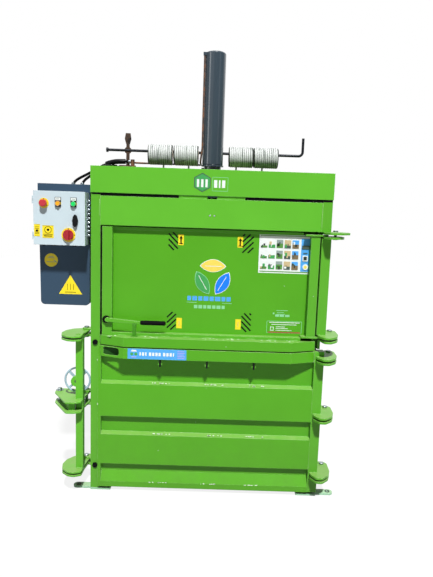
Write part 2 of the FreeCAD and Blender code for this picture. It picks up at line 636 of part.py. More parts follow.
TUBE_RIGHT = f"({TUBE_LEFT}+hinge_tube)"
STILE_LEFT = f"({TUBE_LEFT}-3)"
STILE_RIGHT = f"({STILE_LEFT}+bale_stile)"
tube_y = (FEED_FACE, f"{FEED_FACE}+hinge_tube")
back_corner = [("hinge_x-18", f"{HINGE_Y}+plate_back"), ("hinge_x-36", f"{HINGE_Y}+10")]
covering = back_corner + [(f"{TUBE_RIGHT}+5", f"{FRONT}+52"), (f"{TUBE_LEFT}+7", f"{FRONT}+52"),
                          (f"{TUBE_LEFT}+7", f"{FRONT}-35")]
feed_low = f"({FEED_STRAP}+strap_thick+plate_thick)"
feed_high = "feed_hinge_top"
hinge_post = [
    hinge_plate("feed_plate_high", feed_high, covering),
    hinge_plate("feed_plate_low", feed_low, covering),
    box("feed_tube_blank", (TUBE_LEFT, TUBE_RIGHT), tube_y, (feed_low, f"{feed_high}-plate_thick")),
]
strap_x = ("feed_right-notch_width", f"{TUBE_LEFT}+strap_reach")
for label, low in (("low", FEED_STRAP), ("high", feed_high)):
    hinge_post.append(box(f"feed_strap_{label}", strap_x, (f"{FEED_FACE}-6", FEED_BACK),
                          (low, f"{low}+strap_thick")))
node("feed_hinge_post", fuse("feed_post_weld", *hinge_post))

hugging = back_corner + [(STILE_RIGHT, f"{FRONT}+52"), (STILE_RIGHT, BALE_FACE),
                         (f"{STILE_LEFT}+10", BALE_FACE), (f"{STILE_LEFT}+10", f"{FRONT}-38")]
stile_z = ("bale_bottom+2", "top_hinge+27")
stile = [channel("stile_tube", (STILE_LEFT, STILE_RIGHT), (BALE_FACE, f"{BALE_FACE}+bale_stile"),
                 stile_z, "-z", "tube_wall")]
for level in ("low", "mid", "top"):
    upper = f"{level}_hinge"
    for label, top in (("upper", upper), ("lower", f"{upper}-plate_thick-plate_gap")):
        stile.append(hinge_plate(f"bale_{level}_{label}", top, hugging))
node("bale_door_stile", fuse("stile_weld", *stile))

RIB_FACE = f"({WALL_OUT}+right_rib_depth)"
anchored = [("hinge_x-18", f"{HINGE_Y}+plate_back"), (RIB_FACE, f"{HINGE_Y}+plate_back"),
            (RIB_FACE, f"{FRONT}+62"), (f"{TUBE_LEFT}+22", f"{FRONT}+52"),
            (f"{TUBE_LEFT}+22", f"{FRONT}-35")]
lug_outline = [(RIB_FACE, f"{HINGE_Y}-34"), ("hinge_x+10", f"{HINGE_Y}-26"),
               ("hinge_x+26", f"{HINGE_Y}-12"), ("hinge_x+26", f"{HINGE_Y}+14"),
               ("hinge_x+10", f"{HINGE_Y}+27"), (RIB_FACE, f"{HINGE_Y}+60")]
LOW_FIXED = f"({FEED_STRAP}-2)"
HIGH_FIXED = "header_bottom"
brackets = [hinge_plate("fixed_plate_low", LOW_FIXED, anchored)]
brackets.append(box("fixed_gusset", (f"{RIB_FACE}-5", f"{RIB_FACE}+11"),
                    (f"{FRONT}+10", f"{CHAMBER_FRONT}-0.2"),
                    ("ledge_top+12", f"{LOW_FIXED}-plate_thick")))
head_plate = [("hinge_x-93", f"{FRONT}-35"), ("hinge_x-65", f"{FRONT}-plate_front"),
              ("hinge_x", f"{FRONT}-80"), ("hinge_x+60", f"{FRONT}-10"),
              ("hinge_x+66", f"{FRONT}+55"), ("hinge_x+35", f"{HINGE_Y}+plate_back"),
              ("hinge_x-82", f"{HINGE_Y}+plate_back"), ("hinge_x-82", f"{CHAMBER_FRONT}-1"),
              ("hinge_x-93", f"{CHAMBER_FRONT}-1")]
brackets.append(prism("fixed_plate_high", "xy", head_plate, "header_bottom-plate_thick",
                      "plate_thick", [("hinge_x", HINGE_Y, PIN_HOLE)],
                      [(1, "corner"), (2, "corner*2"), (3, "corner"), (4, "corner"), (5, "corner")]))
for level in ("low", "mid", "top"):
    gap_low = f"{level}_hinge-plate_thick-plate_gap"
    brackets.append(prism(f"bale_lug_{level}", "xy", lug_outline, f"{gap_low}+0.5", "plate_gap-1",
                          [("hinge_x", HINGE_Y, PIN_HOLE)], [(1, "corner/2"), (4, "corner/2")]))

# ---------------------------------------------------------------- lock bar plates

def lock_plate(name, top, tip, long_side):
    """Plate round the lock tube, with its tip to the left."""
    pin = ("-lock_pin_x", LOCK_Y)
    inner = "-lock_tube_x+lock_tube/2"
    outer = "-lock_tube_x-lock_tube/2"
    tube_front = f"{FRONT}-lock_tube_setback-15"
    tube_back = f"{tube_front}+lock_tube"
    if long_side:
        left = [(f"-{tip}+118", f"{FRONT}-plate_front+6"), (f"-{tip}+9", f"{FRONT}+92"),
                (f"-{tip}+2", f"{FRONT}+150"), (f"-{tip}+17", f"{FRONT}+170")]
        rounds = [(1, "corner"), (3, "corner/3"), (4, "corner/3")]
    else:
        left = [(f"-{tip}+56", f"{FRONT}-72"), (f"-{tip}+14", f"{FRONT}-32"),
                (f"-{tip}", f"{FRONT}+30"), (f"-{tip}+10", f"{FRONT}+92"),
                (f"-{tip}+44", f"{FRONT}+140"), (f"-{tip}+84", f"{FRONT}+160")]
        rounds = [(1, "corner*1.6"), (2, "corner*1.6"), (3, "corner*2"), (4, "corner*1.6"),
                  (5, "corner")]
    outline = [(f"{inner}-40", f"{FRONT}-80")] + left + [
        ("-lock_pin_x+22", f"{LOCK_Y}+26"), ("-lock_pin_x+22", f"{LOCK_Y}-22"),
        (inner, tube_back), (outer, tube_back), (outer, tube_front), (inner, tube_front),
        (inner, f"{FRONT}-60")]
    rounds += [(0, "corner"), (len(outline) - 1, "corner/2")]
    return prism(name, "xy", outline, f"({top})-lock_plate", "lock_plate",
                 [(*pin, PIN_HOLE)], rounds)


LOCK_PAIR = "(2*lock_plate+lock_gap)"
hooks = []
for level in ("low", "top"):
    upper = f"lock_{level}"
    for label, top in (("upper", upper), ("lower", f"{upper}-lock_plate-lock_gap")):
        hooks.append(lock_plate(f"hook_{level}_{label}", top, "lock_tip", False))
node("lock_hooks", group("hook_set", *hooks))

web_low = "lock_mid-bracket_height+lock_plate"
web_high = "lock_mid-lock_plate"
bracket_web = prism("bracket_web", "xy",
                    [("-lock_tube_x-lock_tube/2", f"{FRONT}-48"), ("-bracket_tip+128", f"{FRONT}-48"),
                     ("-bracket_tip+38", f"{FRONT}+112"), ("-bracket_tip+47", f"{FRONT}+118"),
                     ("-bracket_tip+135", f"{FRONT}-38"), ("-lock_tube_x-lock_tube/2", f"{FRONT}-38")],
                    web_low, f"({web_high})-({web_low})")
node("lock_bracket", fuse("bracket_weld",
     lock_plate("bracket_upper", "lock_mid", "bracket_tip", True),
     lock_plate("bracket_lower", web_low, "bracket_tip", True),
     bracket_web))

lock_tube_y = (f"{FRONT}-lock_tube_setback-15", f"{FRONT}-lock_tube_setback-15+lock_tube")
lock_tube_x = ("-lock_tube_x-lock_tube/2", "-lock_tube_x+lock_tube/2")
lock_tube = channel("lock_tube_blank", lock_tube_x, lock_tube_y,
                    (f"lock_low-{LOCK_PAIR}", "lock_top+4"), "-z", "tube_wall")
boss = cut("boss_ring", rod("boss_bar", "y", ("-wheel_x", lock_tube_y[1], "wheel_z"),
                            "boss_radius", "boss_length"),
           rod("boss_bore", "y", ("-wheel_x", f"{lock_tube_y[1]}-1", "wheel_z"),
               "spindle_radius+0.05", "boss_length+2"))
node("lock_tube", fuse("lock_tube_weld", lock_tube, boss))

LEFT_RIB = f"(-{WALL_OUT}-rib_depth)"
lock_lug = [(LEFT_RIB, f"{LOCK_Y}-46"), ("-lock_pin_x-10", f"{LOCK_Y}-22"),
            ("-lock_pin_x-22", f"{LOCK_Y}-8"), ("-lock_pin_x-22", f"{LOCK_Y}+10"),
            ("-lock_pin_x-10", f"{LOCK_Y}+24"), (LEFT_RIB, f"{LOCK_Y}+24")]
for level, height in (("low", LOCK_PAIR), ("mid", "bracket_height"), ("top", LOCK_PAIR)):
    for label, low in (("upper", f"lock_{level}+0.4"),
                       ("lower", f"lock_{level}-{height}-lock_plate-0.4")):
        brackets.append(prism(f"lock_lug_{level}_{label}", "xy", lock_lug, low, "lock_plate",
                              [("-lock_pin_x", LOCK_Y, PIN_HOLE)]))
node("hinge_brackets", group("bracket_set", *brackets))


def hinge_pin(name, x, y, low, high):
    """Headed pin with a collar under the lowest plate."""
    return turned(name, "z", (x, y, low),
                  [("0", "-10"), ("pin_radius+4", "-10"), ("pin_radius+4", "-0.3"),
                   ("pin_radius", "-0.3"), ("pin_radius", f"({high})-({low})+0.3"),
                   ("pin_head", f"({high})-({low})+0.3"),
                   ("pin_head", f"({high})-({low})+pin_head_height-2"),
                   ("pin_head-2", f"({high})-({low})+pin_head_height"),
                   ("0", f"({high})-({low})+pin_head_height")])


stack = "2*plate_thick+plate_gap"
pins = [hinge_pin(f"pin_bale_{level}", "hinge_x", HINGE_Y, f"{level}_hinge-({stack})",
                  f"{level}_hinge") for level in ("low", "mid", "top")]
pins.append(hinge_pin("pin_feed_low", "hinge_x", HINGE_Y, f"{LOW_FIXED}-plate_thick", feed_low))
pins.append(hinge_pin("pin_feed_high", "hinge_x", HINGE_Y, f"{feed_high}-plate_thick", HIGH_FIXED))
pins += [hinge_pin(f"pin_lock_{level}", "-lock_pin_x", LOCK_Y,
                   f"lock_{level}-{height}-lock_plate-0.4", f"lock_{level}+lock_plate+0.4")
         for level, height in (("low", LOCK_PAIR), ("mid", "bracket_height"), ("top", LOCK_PAIR))]
node("hinge_pins", group("pin_set", *pins))

# ---------------------------------------------------------------- feed door

left_stile = channel("stile_left_tube", ("-feed_left", "-feed_left+stile_left"),
                     (FEED_FACE, FEED_BACK), ("feed_bottom", "feed_top"), "+z", "tube_wall")
latch_hole = rod("latch_hole_bore", "y", ("-latch_x", f"{FEED_FACE}-1", "latch_z"), "latch_hole",
                 "panel_setback+door_proud+2")
right_stile = channel("stile_right_tube", ("feed_right-stile_right", "feed_right"),
                      (FEED_FACE, FEED_BACK), (f"{FEED_STRAP}+strap_thick", "feed_hinge_top"),
                      "+z", "tube_wall")
low_rail = box("feed_low_rail", ("-feed_left+stile_left-1", "feed_right-notch_width"),
               (FEED_FACE, FEED_BACK), ("feed_bottom", FEED_STRAP))
high_rail = box("feed_high_rail", ("-feed_left+stile_left-1", "feed_right-notch_width-7"),
                (f"{FEED_BACK}-rail_depth", FEED_BACK), ("feed_top-rail_height", "feed_top"))
node("feed_door_frame", cut("feed_frame_cut",
     fuse("feed_frame_weld", left_stile, right_stile, low_rail, high_rail), latch_hole))
panel_blank = box("panel_blank", ("-feed_left", "feed_right"),
                  (FEED_BACK, f"{FEED_BACK}+panel_thick"), ("feed_bottom", "feed_top"))
panel_notch = box("panel_notch", ("feed_right-notch_width", "feed_right+1"),
                  (f"{FEED_BACK}-1", f"{FEED_BACK}+panel_thick+1"),
                  ("feed_bottom-1", f"{FEED_STRAP}+strap_thick"))
head_notch = box("head_notch", ("feed_right-notch_width-7", "feed_right+1"),
                 (f"{FEED_BACK}-1", f"{FEED_BACK}+panel_thick+1"), ("feed_hinge_top", "feed_top+1"))
panel_hole = rod("panel_hole", "y", ("-latch_x", f"{FEED_BACK}-1", "latch_z"), "latch_hole+3",
                 "panel_thick+2")
node("feed_door_panel", cut("panel_cut", panel_blank, panel_notch, head_notch, panel_hole))


def tier(name, low, high, face):
    """Ledge of folded sheet: a flat top with a skirt, bent back at both ends."""
    outline = [("-tier_end", face), ("-tier_bend", TIER_FACE), ("tier_bend", TIER_FACE),
               ("tier_end", face)]
    inner = [("-tier_end+3*tier_sheet", f"{face}+1"),
             ("-tier_bend+tier_sheet/3", f"{TIER_FACE}+tier_sheet"),
             ("tier_bend-tier_sheet/3", f"{TIER_FACE}+tier_sheet"),
             ("tier_end-3*tier_sheet", f"{face}+1")]
    solid = prism(name + "_solid", "xy", outline, low, f"({high})-({low})")
    hollow = prism(name + "_hollow", "xy", inner, f"({low})-1", f"({high})-({low})-tier_sheet+1")
    return solid, hollow


node("feed_shelf", cut("shelf_cut", *tier("shelf", "feed_bottom-shelf_height", "feed_bottom",
                                          FEED_FACE)))

# latch on the left stile
arm_y = f"{FEED_FACE}-latch_stand"
latch_end = "-latch_x+latch_length"
arm = prism("latch_arm", "xz",
            [("-latch_x+4", "latch_z+latch_bar"), ("-latch_x+4", "latch_z-latch_bar"),
             (latch_end, "latch_z-latch_drop-8"), (latch_end, "latch_z-latch_drop+6")],
            arm_y, "latch_bar")
eye = rod("latch_eye", "y", ("-latch_x", arm_y, "latch_z"), "latch_bar+2", "latch_bar")
shaft = rod("latch_shaft_bar", "y", ("-latch_x", f"{arm_y}+1", "latch_z"), "latch_shaft",
            "latch_stand+door_proud+panel_setback-1")
cam = box("latch_cam", ("-latch_x-28", "-latch_x+4"),
          (f"{FEED_BACK}+panel_thick+0.5", f"{FEED_BACK}+panel_thick+8"),
          ("latch_z-10", "latch_z+10"))
cam_shaft = rod("cam_shaft", "y", ("-latch_x", f"{FEED_BACK}-2", "latch_z"), "latch_shaft",
                "panel_thick+6")
node("latch_lever", fuse("latch_weld", arm, eye, shaft, cam_shaft, cam))
grip = turned("grip_turned", "x", (latch_end, f"{arm_y}+latch_bar/2", "latch_z-latch_drop-1"),
              [("0", "0.1"), ("grip_radius-3", "0.1"), ("grip_radius", "6"),
               ("grip_radius", "grip_length-8"), ("grip_radius-4", "grip_length"),
               ("0", "grip_length")])
node("latch_grip", grip)
REST_TOP = "(latch_z-latch_drop*0.82-latch_bar*0.82-0.4)"
rest_y = (f"{arm_y}-2", f"{arm_y}+latch_bar+2")
rest = [box("rest_leg", ("-rest_x-rest_width/2", "-rest_x+rest_width/2"), rest_y,
            ("feed_bottom", f"{REST_TOP}-12")),
        box("rest_foot", ("-rest_x-rest_width", "-rest_x+rest_width"), rest_y,
            ("feed_bottom", "feed_bottom+5"))]
pad = box("rest_pad", ("-rest_x-rest_width/2-2", "-rest_x+rest_width/2+2"), rest_y,
          (f"{REST_TOP}-12", REST_TOP))
node("latch_rest", group("rest_set", fuse("rest_weld", *rest), pad))

# ---------------------------------------------------------------- bale door

t = "sheet"
face = BALE_FACE
back = BALE_BACK
toe_back = f"bale_bottom+toe_height+toe_slope"
profile = [
    (face, "ledge_top"), (face, "ledge_top-ledge_height"), (back, "ledge_top-ledge_height"),
    (back, "high_band_top+recess_slope"), (face, "high_band_top"), (face, "high_recess_bottom"),
    (back, "high_recess_bottom"), (back, "low_band_top+recess_slope"), (face, "low_band_top"),
    (face, "low_recess_top"), (back, "low_recess_top"), (back, toe_back),
    (face, "bale_bottom+toe_height"), (face, "bale_bottom"), (f"{face}+{t}", "bale_bottom"),
    (f"{face}+{t}", f"bale_bottom+toe_height-{t}*0.56"), (f"{back}+{t}", f"{toe_back}-{t}*0.56"),
    (f"{back}+{t}", f"low_recess_top+{t}"), (f"{face}+{t}", f"low_recess_top+{t}"),
    (f"{face}+{t}", f"low_band_top-{t}"), (f"{back}+{t}", f"low_band_top+recess_slope-{t}"),
    (f"{back}+{t}", f"high_recess_bottom+{t}"), (f"{face}+{t}", f"high_recess_bottom+{t}"),
    (f"{face}+{t}", f"high_band_top-{t}"), (f"{back}+{t}", f"high_band_top+recess_slope-{t}"),
    (f"{back}+{t}", f"ledge_top-ledge_height+{t}"), (f"{face}+{t}", f"ledge_top-ledge_height+{t}"),
    (f"{face}+{t}", f"ledge_top-{t}"), (f"{back}+{t}", f"ledge_top-{t}"),
    (f"{back}+{t}", "ledge_top"),
]
WEB_LEFT = f"(-{SIDE}+post_width+2.5)"
leaf_x = f"{WEB_LEFT}+sheet-1"
leaf = prism("leaf_fold", "yz", profile, leaf_x, f"({STILE_LEFT})-({leaf_x})")
web = box("leaf_web", (WEB_LEFT, f"{WEB_LEFT}+sheet"), (face, f"{back}+{t}"),
          ("bale_bottom", "ledge_top"))
flange_bar = box("leaf_flange", ("-bale_left", f"{WEB_LEFT}+sheet"),
                 (face, f"{face}+flange_thick"), ("bale_bottom", "ledge_top"))
node("bale_door_leaf", fuse("leaf_weld", leaf, web, flange_bar))
liner_y = (f"{back}+{t}", f"{back}+{t}+liner_thick")
liner = box("liner_blank", (WEB_LEFT, STILE_LEFT), liner_y, (toe_back, "ledge_top"))
slots = [box(f"liner_slot{index + 1}",
             (f"{index}*groove_pitch-groove_width/2", f"{index}*groove_pitch+groove_width/2"),
             (f"{liner_y[0]}-1", f"{liner_y[1]}+1"), ("low_recess_top-40", "ledge_top+1"))
         for index in (-1, 0, 1)]
node("bale_door_liner", cut("liner_cut", liner, *slots))

ledge_low = "ledge_top-ledge_height"
ledge_solid, ledge_hollow = tier("ledge", ledge_low, "ledge_top", BALE_FACE)
slot_x = ("-hand_slot_centre-hand_slot_length/2", "-hand_slot_centre+hand_slot_length/2")
slot_z = (f"{ledge_low}+hand_slot_lip", f"{ledge_low}+hand_slot_lip+hand_slot_height")
slot_cut = prism("hand_slot", "xz", [(x, z) for x, z in zip(slot_x + slot_x[::-1],
                                                             (slot_z[0],) * 2 + (slot_z[1],) * 2)],
                 f"{TIER_FACE}-5", "tier_proud-bale_proud+3", (),
                 [(corner, "hand_slot_corner") for corner in range(4)])
ledge_shell = cut("ledge_shell", ledge_solid, ledge_hollow, slot_cut)
guides = []
for index in (-1, 0, 1):
    for side in (-1, 1):
        guides.append(rod(f"strap_guide_{index + 1}_{side + 1}", "z",
                          (f"{index}*groove_pitch+{side}*guide_spread", f"{FRONT}-guide_proud",
                           f"{ledge_low}-guide_drop"), "guide_radius",
                          "ledge_height+guide_drop-tier_sheet+1"))
node("bale_door_ledge", fuse("ledge_weld", ledge_shell, *guides))

# ---------------------------------------------------------------- handwheel

wheel_y = f"{FRONT}+wheel_setback"
rim = doc.addObject("Part::Torus", "wheel_rim_ring")
rim.Placement = FreeCAD.Placement(Vector(), TURNS["y"])
rim.setExpression("Radius1", scoped("wheel_radius-wheel_rim"))
rim.setExpression("Radius2", scoped("wheel_rim"))
place(rim, "-wheel_x", wheel_y, "wheel_z")
wheel_parts = [rim]
hub = turned("wheel_hub", "y", ("-wheel_x", f"{wheel_y}-11", "wheel_z"),
             [("spindle_radius", "0"), ("22", "0"), ("22", "14"), ("17", "22"),
              ("spindle_radius", "22")])
wheel_parts.append(hub)
for index in range(4):
    angle = 45 + 90 * index
    spoke = doc.addObject("Part::Box", f"wheel_spoke{index}")
    spoke.setExpression("Length", scoped("wheel_radius-wheel_rim-18"))
    spoke.Width = 8
    spoke.Height = 14
    radial = Vector(math.cos(math.radians(angle)), 0, math.sin(math.radians(angle)))
    turn = FreeCAD.Rotation(radial, Vector(0, 1, 0), Vector(0, 0, 1), "XYZ")
    spoke.Placement = FreeCAD.Placement(Vector(), turn)
    corner = turn.multVec(Vector(0, 0, -7)) + radial * 18
    place(spoke, f"-wheel_x+({corner.x})", f"{wheel_y}-4+({corner.y})", f"wheel_z+({corner.z})")
    wheel_parts.append(spoke)
node("handwheel", fuse("wheel_weld", *wheel_parts))
node("wheel_spindle", rod("spindle_bar", "y", ("-wheel_x", f"{lock_tube_y[1]}+0.3", "wheel_z"),
                          "spindle_radius", f"({wheel_y}+17)-({lock_tube_y[1]}+0.3)"))

# ---------------------------------------------------------------- power unit

cover_y = (COVER_FRONT, f"{COVER_FRONT}+cover_depth")
cover_outline = [("-cover_left", "cover_top"), ("-cover_left+cover_taper", "cover_bottom"),
                 ("-cover_right-2", "cover_bottom"), ("-cover_right", "cover_top")]
shell = prism("cover_shell", "xz", cover_outline, cover_y[0], "cover_depth", (),
              [(1, "corner"), (2, "corner")])
cavity = prism("cover_cavity", "xz",
               [("-cover_left+cover_sheet", "cover_top+1"),
                ("-cover_left+cover_taper+cover_sheet", "cover_bottom+cover_sheet"),
                ("-cover_right-2-cover_sheet", "cover_bottom+cover_sheet"),
                ("-cover_right-cover_sheet", "cover_top+1")],
               f"{cover_y[0]}+cover_sheet", "cover_depth-2*cover_sheet", (),
               [(1, "corner-cover_sheet"), (2, "corner-cover_sheet")])
cover_parts = [cut("cover_hollowed", shell, cavity)]
louvre_x = ("-cover_right-1", "-cover_right+louvre_proud")
for index in range(SIZES["louvre_count"]):
    low = f"louvre_low+{index}*louvre_pitch"
    hood = prism(f"louvre{index}", "xz",
                 [(louvre_x[0], low), (louvre_x[1], low), (louvre_x[1], f"{low}+10"),
                  (louvre_x[0], f"{low}+20")], f"{cover_y[0]}+8", "20")
    cover_parts.append(hood)
node("power_cover", fuse("cover_weld", *cover_parts))
lid_x = ("-cover_left-lid_lap", "-cover_right+lid_lap")
lid_y = (f"{cover_y[0]}-lid_lap", f"{cover_y[1]}+lid_lap")
node("power_lid", channel("lid_tray", lid_x, lid_y, ("cover_top", "cover_top+lid_height"), "-z",
                          "(lid_lap+cover_sheet)"))
tank_y = (f"{cover_y[0]}+14", f"{cover_y[1]}-14")
tank_x = ("-cover_left+cover_taper+16", "-cover_right-16")
TANK_LOW = "(cover_bottom+cover_sheet)"
TANK_TOP = f"({TANK_LOW}+tank_height)"
node("oil_tank", fuse("tank_weld", box("tank_box", (f"{tank_x[0]}+12", f"{tank_x[1]}-12"), tank_y,
                                       (TANK_LOW, TANK_TOP)),
                      rod("tank_filler", "z", (f"{tank_x[0]}+45", f"{tank_y[1]}-50", f"{TANK_TOP}-1"),
                          "22", "31")))
motor_at = ("-(cover_left+cover_right)/2+18", f"({cover_y[0]}+{cover_y[1]})/2", TANK_TOP)
motor = [turned("motor_turned", "z", motor_at,
                [("0", "0"), ("motor_radius+14", "0"), ("motor_radius+14", "14"),
                 ("motor_radius", "14"), ("motor_radius", "motor_height-60"),
                 ("motor_radius+4", "motor_height-60"), ("motor_radius+4", "motor_height-8"),
                 ("motor_radius-8", "motor_height"), ("0", "motor_height")]),
         box("motor_terminals", (f"{motor_at[0]}-motor_radius-22", f"{motor_at[0]}-motor_radius+25"),
             (f"{motor_at[1]}-45", f"{motor_at[1]}+45"), (f"{TANK_TOP}+80", f"{TANK_TOP}+170"))]
valves = fuse("valve_weld",
     box("valve_body", (f"{tank_x[0]}+30", f"{tank_x[0]}+90"), (f"{tank_y[0]}+20", f"{tank_y[0]}+110"),
         (TANK_TOP, f"{TANK_TOP}+70")),
     rod("valve_coil_a", "y", (f"{tank_x[0]}+60", f"{tank_y[0]}+109", f"{TANK_TOP}+40"), "20", "60"),
     rod("valve_coil_b", "z", (f"{tank_x[0]}+60", f"{tank_y[0]}+60", f"{TANK_TOP}+69"), "18", "45"))
node("pump_unit", group("pump_set", fuse("motor_weld", *motor), valves))

# ---------------------------------------------------------------- control box

box_x = ("-box_left", "-box_right")
box_body_y = (f"{BOX_FRONT}+box_door+1", COVER_FRONT)
lid_pin = ("-box_left-6", f"{BOX_FRONT}+box_door-2")
box_parts = [channel("enclosure", (f"{box_x[0]}+2", f"{box_x[1]}-2"), box_body_y,
                     ("box_bottom+2", "box_top-2"), "-y", "box_sheet")]
door_parts = [channel("box_door_tray", box_x, (BOX_FRONT, f"{BOX_FRONT}+box_door"),
                      ("box_bottom", "box_top"), "+y", "box_sheet")]
for index, middle in enumerate(("box_bottom+50", "box_top-50")):
    box_parts += [
        rod(f"box_knuckle{index}", "z", (*lid_pin, f"{middle}-22"), "lid_knuckle", "21.7"),
        rod(f"box_pin{index}", "z", (*lid_pin, f"{middle}-2"), "lid_pin_radius", "24"),
        box(f"box_ear{index}", (lid_pin[0], f"{box_x[0]}+4"),
            (f"{box_body_y[0]}+0.2", f"{box_body_y[0]}+8"), (f"{middle}-22", f"{middle}-0.3")),
    ]
    sleeve = cut(f"door_sleeve{index}",
                 fuse(f"door_knuckle{index}",
                      rod(f"door_round{index}", "z", (*lid_pin, middle), "lid_knuckle", "21.7"),
                      box(f"door_ear{index}", (lid_pin[0], f"{box_x[0]}+1"),
                          (f"{lid_pin[1]}-8", f"{lid_pin[1]}-2"), (middle, f"{middle}+21.7"))),
                 rod(f"door_bore{index}", "z", (*lid_pin, f"{middle}-1"),
                     "lid_pin_radius+pin_clearance", "24"))
    door_parts.append(sleeve)
node("control_box", fuse("enclosure_weld", *box_parts))
door_tray = fuse("box_door_weld", *door_parts)
controls = (("estop_x", "button_z"), ("orange_x", "button_z"), ("green_x", "button_z"),
            ("switch_x", "switch_z"), ("handle_x", "handle_z"))
bores = [rod(f"panel_bore{index}", "y", (f"-{x}", f"{BOX_FRONT}-1", z),
             "shank_radius+0.3", "box_sheet+2") for index, (x, z) in enumerate(controls)]
node("control_door", cut("box_door_cut", door_tray, *bores))


def ring(name, x, z, outer, inner, thick):
    """Flat collar lying on the front of the control door."""
    start = f"{BOX_FRONT}-{thick}"
    return cut(name, rod(name + "_disc", "y", (f"-{x}", start, z), outer, thick),
               rod(name + "_eye", "y", (f"-{x}", f"{start}-1", z), inner, f"{thick}+2"))


node("control_collars", group("collar_set",
     ring("estop_disc", "estop_x", "button_z", "estop_ring", "shank_radius+0.3", "3"),
     ring("orange_bezel", "orange_x", "button_z", "bezel_radius", "shank_radius+0.3", "3"),
     ring("green_bezel", "green_x", "button_z", "bezel_radius", "shank_radius+0.3", "3"),
     ring("switch_ring", "switch_x", "switch_z", "switch_radius+9", "shank_radius+0.3", "4")))


def push_button(name, x, cap, reach):
    """Round cap on a shank that slides through the door."""
    return turned(name, "y", (f"-{x}", f"{BOX_FRONT}-{reach}", "button_z"),
                  [("0", "0"), (f"{cap}-3", "0"), (cap, "3"), (cap, f"{reach}-3-button_travel-1"),
                   ("shank_radius", f"{reach}-3-button_travel-1"), ("shank_radius", f"{reach}+9"),
                   ("0", f"{reach}+9")])


node("estop_button", push_button("estop_turned", "estop_x", "mushroom_radius", "30"))
node("orange_button", push_button("orange_turned", "orange_x", "button_radius", "16"))
node("green_button", push_button("green_turned", "green_x", "button_radius", "16"))
switch_base = turned("switch_turned", "y", ("-switch_x", f"{BOX_FRONT}-16", "switch_z"),
                     [("0", "0"), ("switch_radius-2", "0"), ("switch_radius", "3"),
                      ("switch_radius", "11.6"), ("shank_radius", "11.6"), ("shank_radius", "27"),
                      ("0", "27")])
switch_bar = box("switch_bar", ("-switch_x-8", "-switch_x+8"), (f"{BOX_FRONT}-34", f"{BOX_FRONT}-14"),
                 ("switch_z-switch_radius+3", "switch_z+switch_radius-3"))
node("main_switch", fuse("switch_weld", switch_base, switch_bar))
wing = prism("handle_wing", "xz",
             [("-handle_x", "handle_z+handle_half"), ("-handle_x-10", "handle_z+handle_half-12"),
              ("-handle_x-16", "handle_z"), ("-handle_x-10", "handle_z-handle_half+12"),
              ("-handle_x", "handle_z-handle_half"), ("-handle_x+10", "handle_z-handle_half+12"),
              ("-handle_x+16", "handle_z"), ("-handle_x+10", "handle_z+handle_half-12")],
             f"{BOX_FRONT}-16", "15.6",
             (), [(0, "5"), (4, "5")])
handle_shank = rod("handle_shank", "y", ("-handle_x", f"{BOX_FRONT}-1", "handle_z"), "shank_radius",
                   "11")
node("door_handle", fuse("handle_weld", wing, handle_shank))

# ---------------------------------------------------------------- strap rolls

stand_x = (f"-{SIDE}-head_overhang", f"{SIDE}+head_overhang")
stand = [box("stand_bar", stand_x, ("spool_y-stand_width/2", "spool_y+stand_width/2"),
             (HEAD_TOP, f"{HEAD_TOP}+stand_thick")),
         box("manifold_shelf", ("-manifold_left-6", "-manifold_right+6"),
             ("manifold_front-4", "spool_y"), (HEAD_TOP, f"{HEAD_TOP}+stand_thick"))]
for index, (middle, top) in enumerate((("-upright_x", "spool_z+70"), ("0", "spool_z"))):
    stand.append(box(f"upright_bar{index}", (f"{middle}-upright_width/4", f"{middle}+upright_width/4"),
                     ("spool_y-upright_thick/2", "spool_y+upright_thick/2"),
                     (f"{HEAD_TOP}+stand_thick", top)))
    stand.append(rod(f"upright_eye{index}", "y", (middle, "spool_y-upright_thick/2", "spool_z"),
                     "spool_rod+14", "upright_thick"))
stand.append(prism("upright_paddle", "xz",
                   [("-upright_x-12", "spool_z+40"), ("-upright_x+12", "spool_z+40"),
                    ("-upright_x+upright_width/2", "spool_z+72"),
                    ("-upright_x+upright_width/2-6", "spool_z+108"),
                    ("-upright_x-upright_width/2+6", "spool_z+108"),
                    ("-upright_x-upright_width/2", "spool_z+72")],
                   "spool_y-upright_thick/2", "upright_thick"))
eye_bore = rod("upright_bores", "x", ("-upright_x-60", "spool_y", "spool_z"), "spool_rod+0.05",
               "upright_x+120")
node("spool_stand", cut("stand_cut", fuse("stand_weld", *stand), eye_bore))

spool_y = number("spool_y")
spool_z = number("spool_z")
left_end = Vector(-number("spool_left"), spool_y, spool_z)
elbow = Vector(number("spool_right"), spool_y, spool_z)
tip = Vector(number("spool_right"), spool_y, spool_z + number("spool_crank"))
bar = swept("spool_bar", [left_end, elbow, tip], [26], number("spool_rod"))
collar = rod("spool_collar", "x", ("-spool_left", "spool_y", "spool_z"), "spool_rod+6", "12")
node("strap_rod", fuse("spool_weld", bar, collar))


def winding(segments):
    """Outer layer of strap: one helix of flat segments with a square-cut section."""
    inner = number("roll_core") / math.cos(math.pi / segments) + number("roll_gap")
    outer = inner + number("strap_depth")
    half = number("strap_width") / 2
    pitch = number("strap_pitch")
    turns = SIZES["roll_turns"]
    start = -pitch * turns / 2
    sections = []
    for step in range(segments * turns + 1):
        angle = 2 * math.pi * step / segments
        middle = start + pitch * step / segments
        radial = Vector(0, math.cos(angle), math.sin(angle))
        across = Vector(1, 0, 0)
        ends = [radial * inner + across * (middle - half), radial * outer + across * (middle - half + 0.9),
                radial * outer + across * (middle + half - 0.9), radial * inner + across * (middle + half)]
        sections.append(Part.makePolygon(ends + ends[:1]))
    print("strap winding: least gap between turns", round(pitch - 2 * half, 2))
    return Part.makeLoft(sections, True, True)


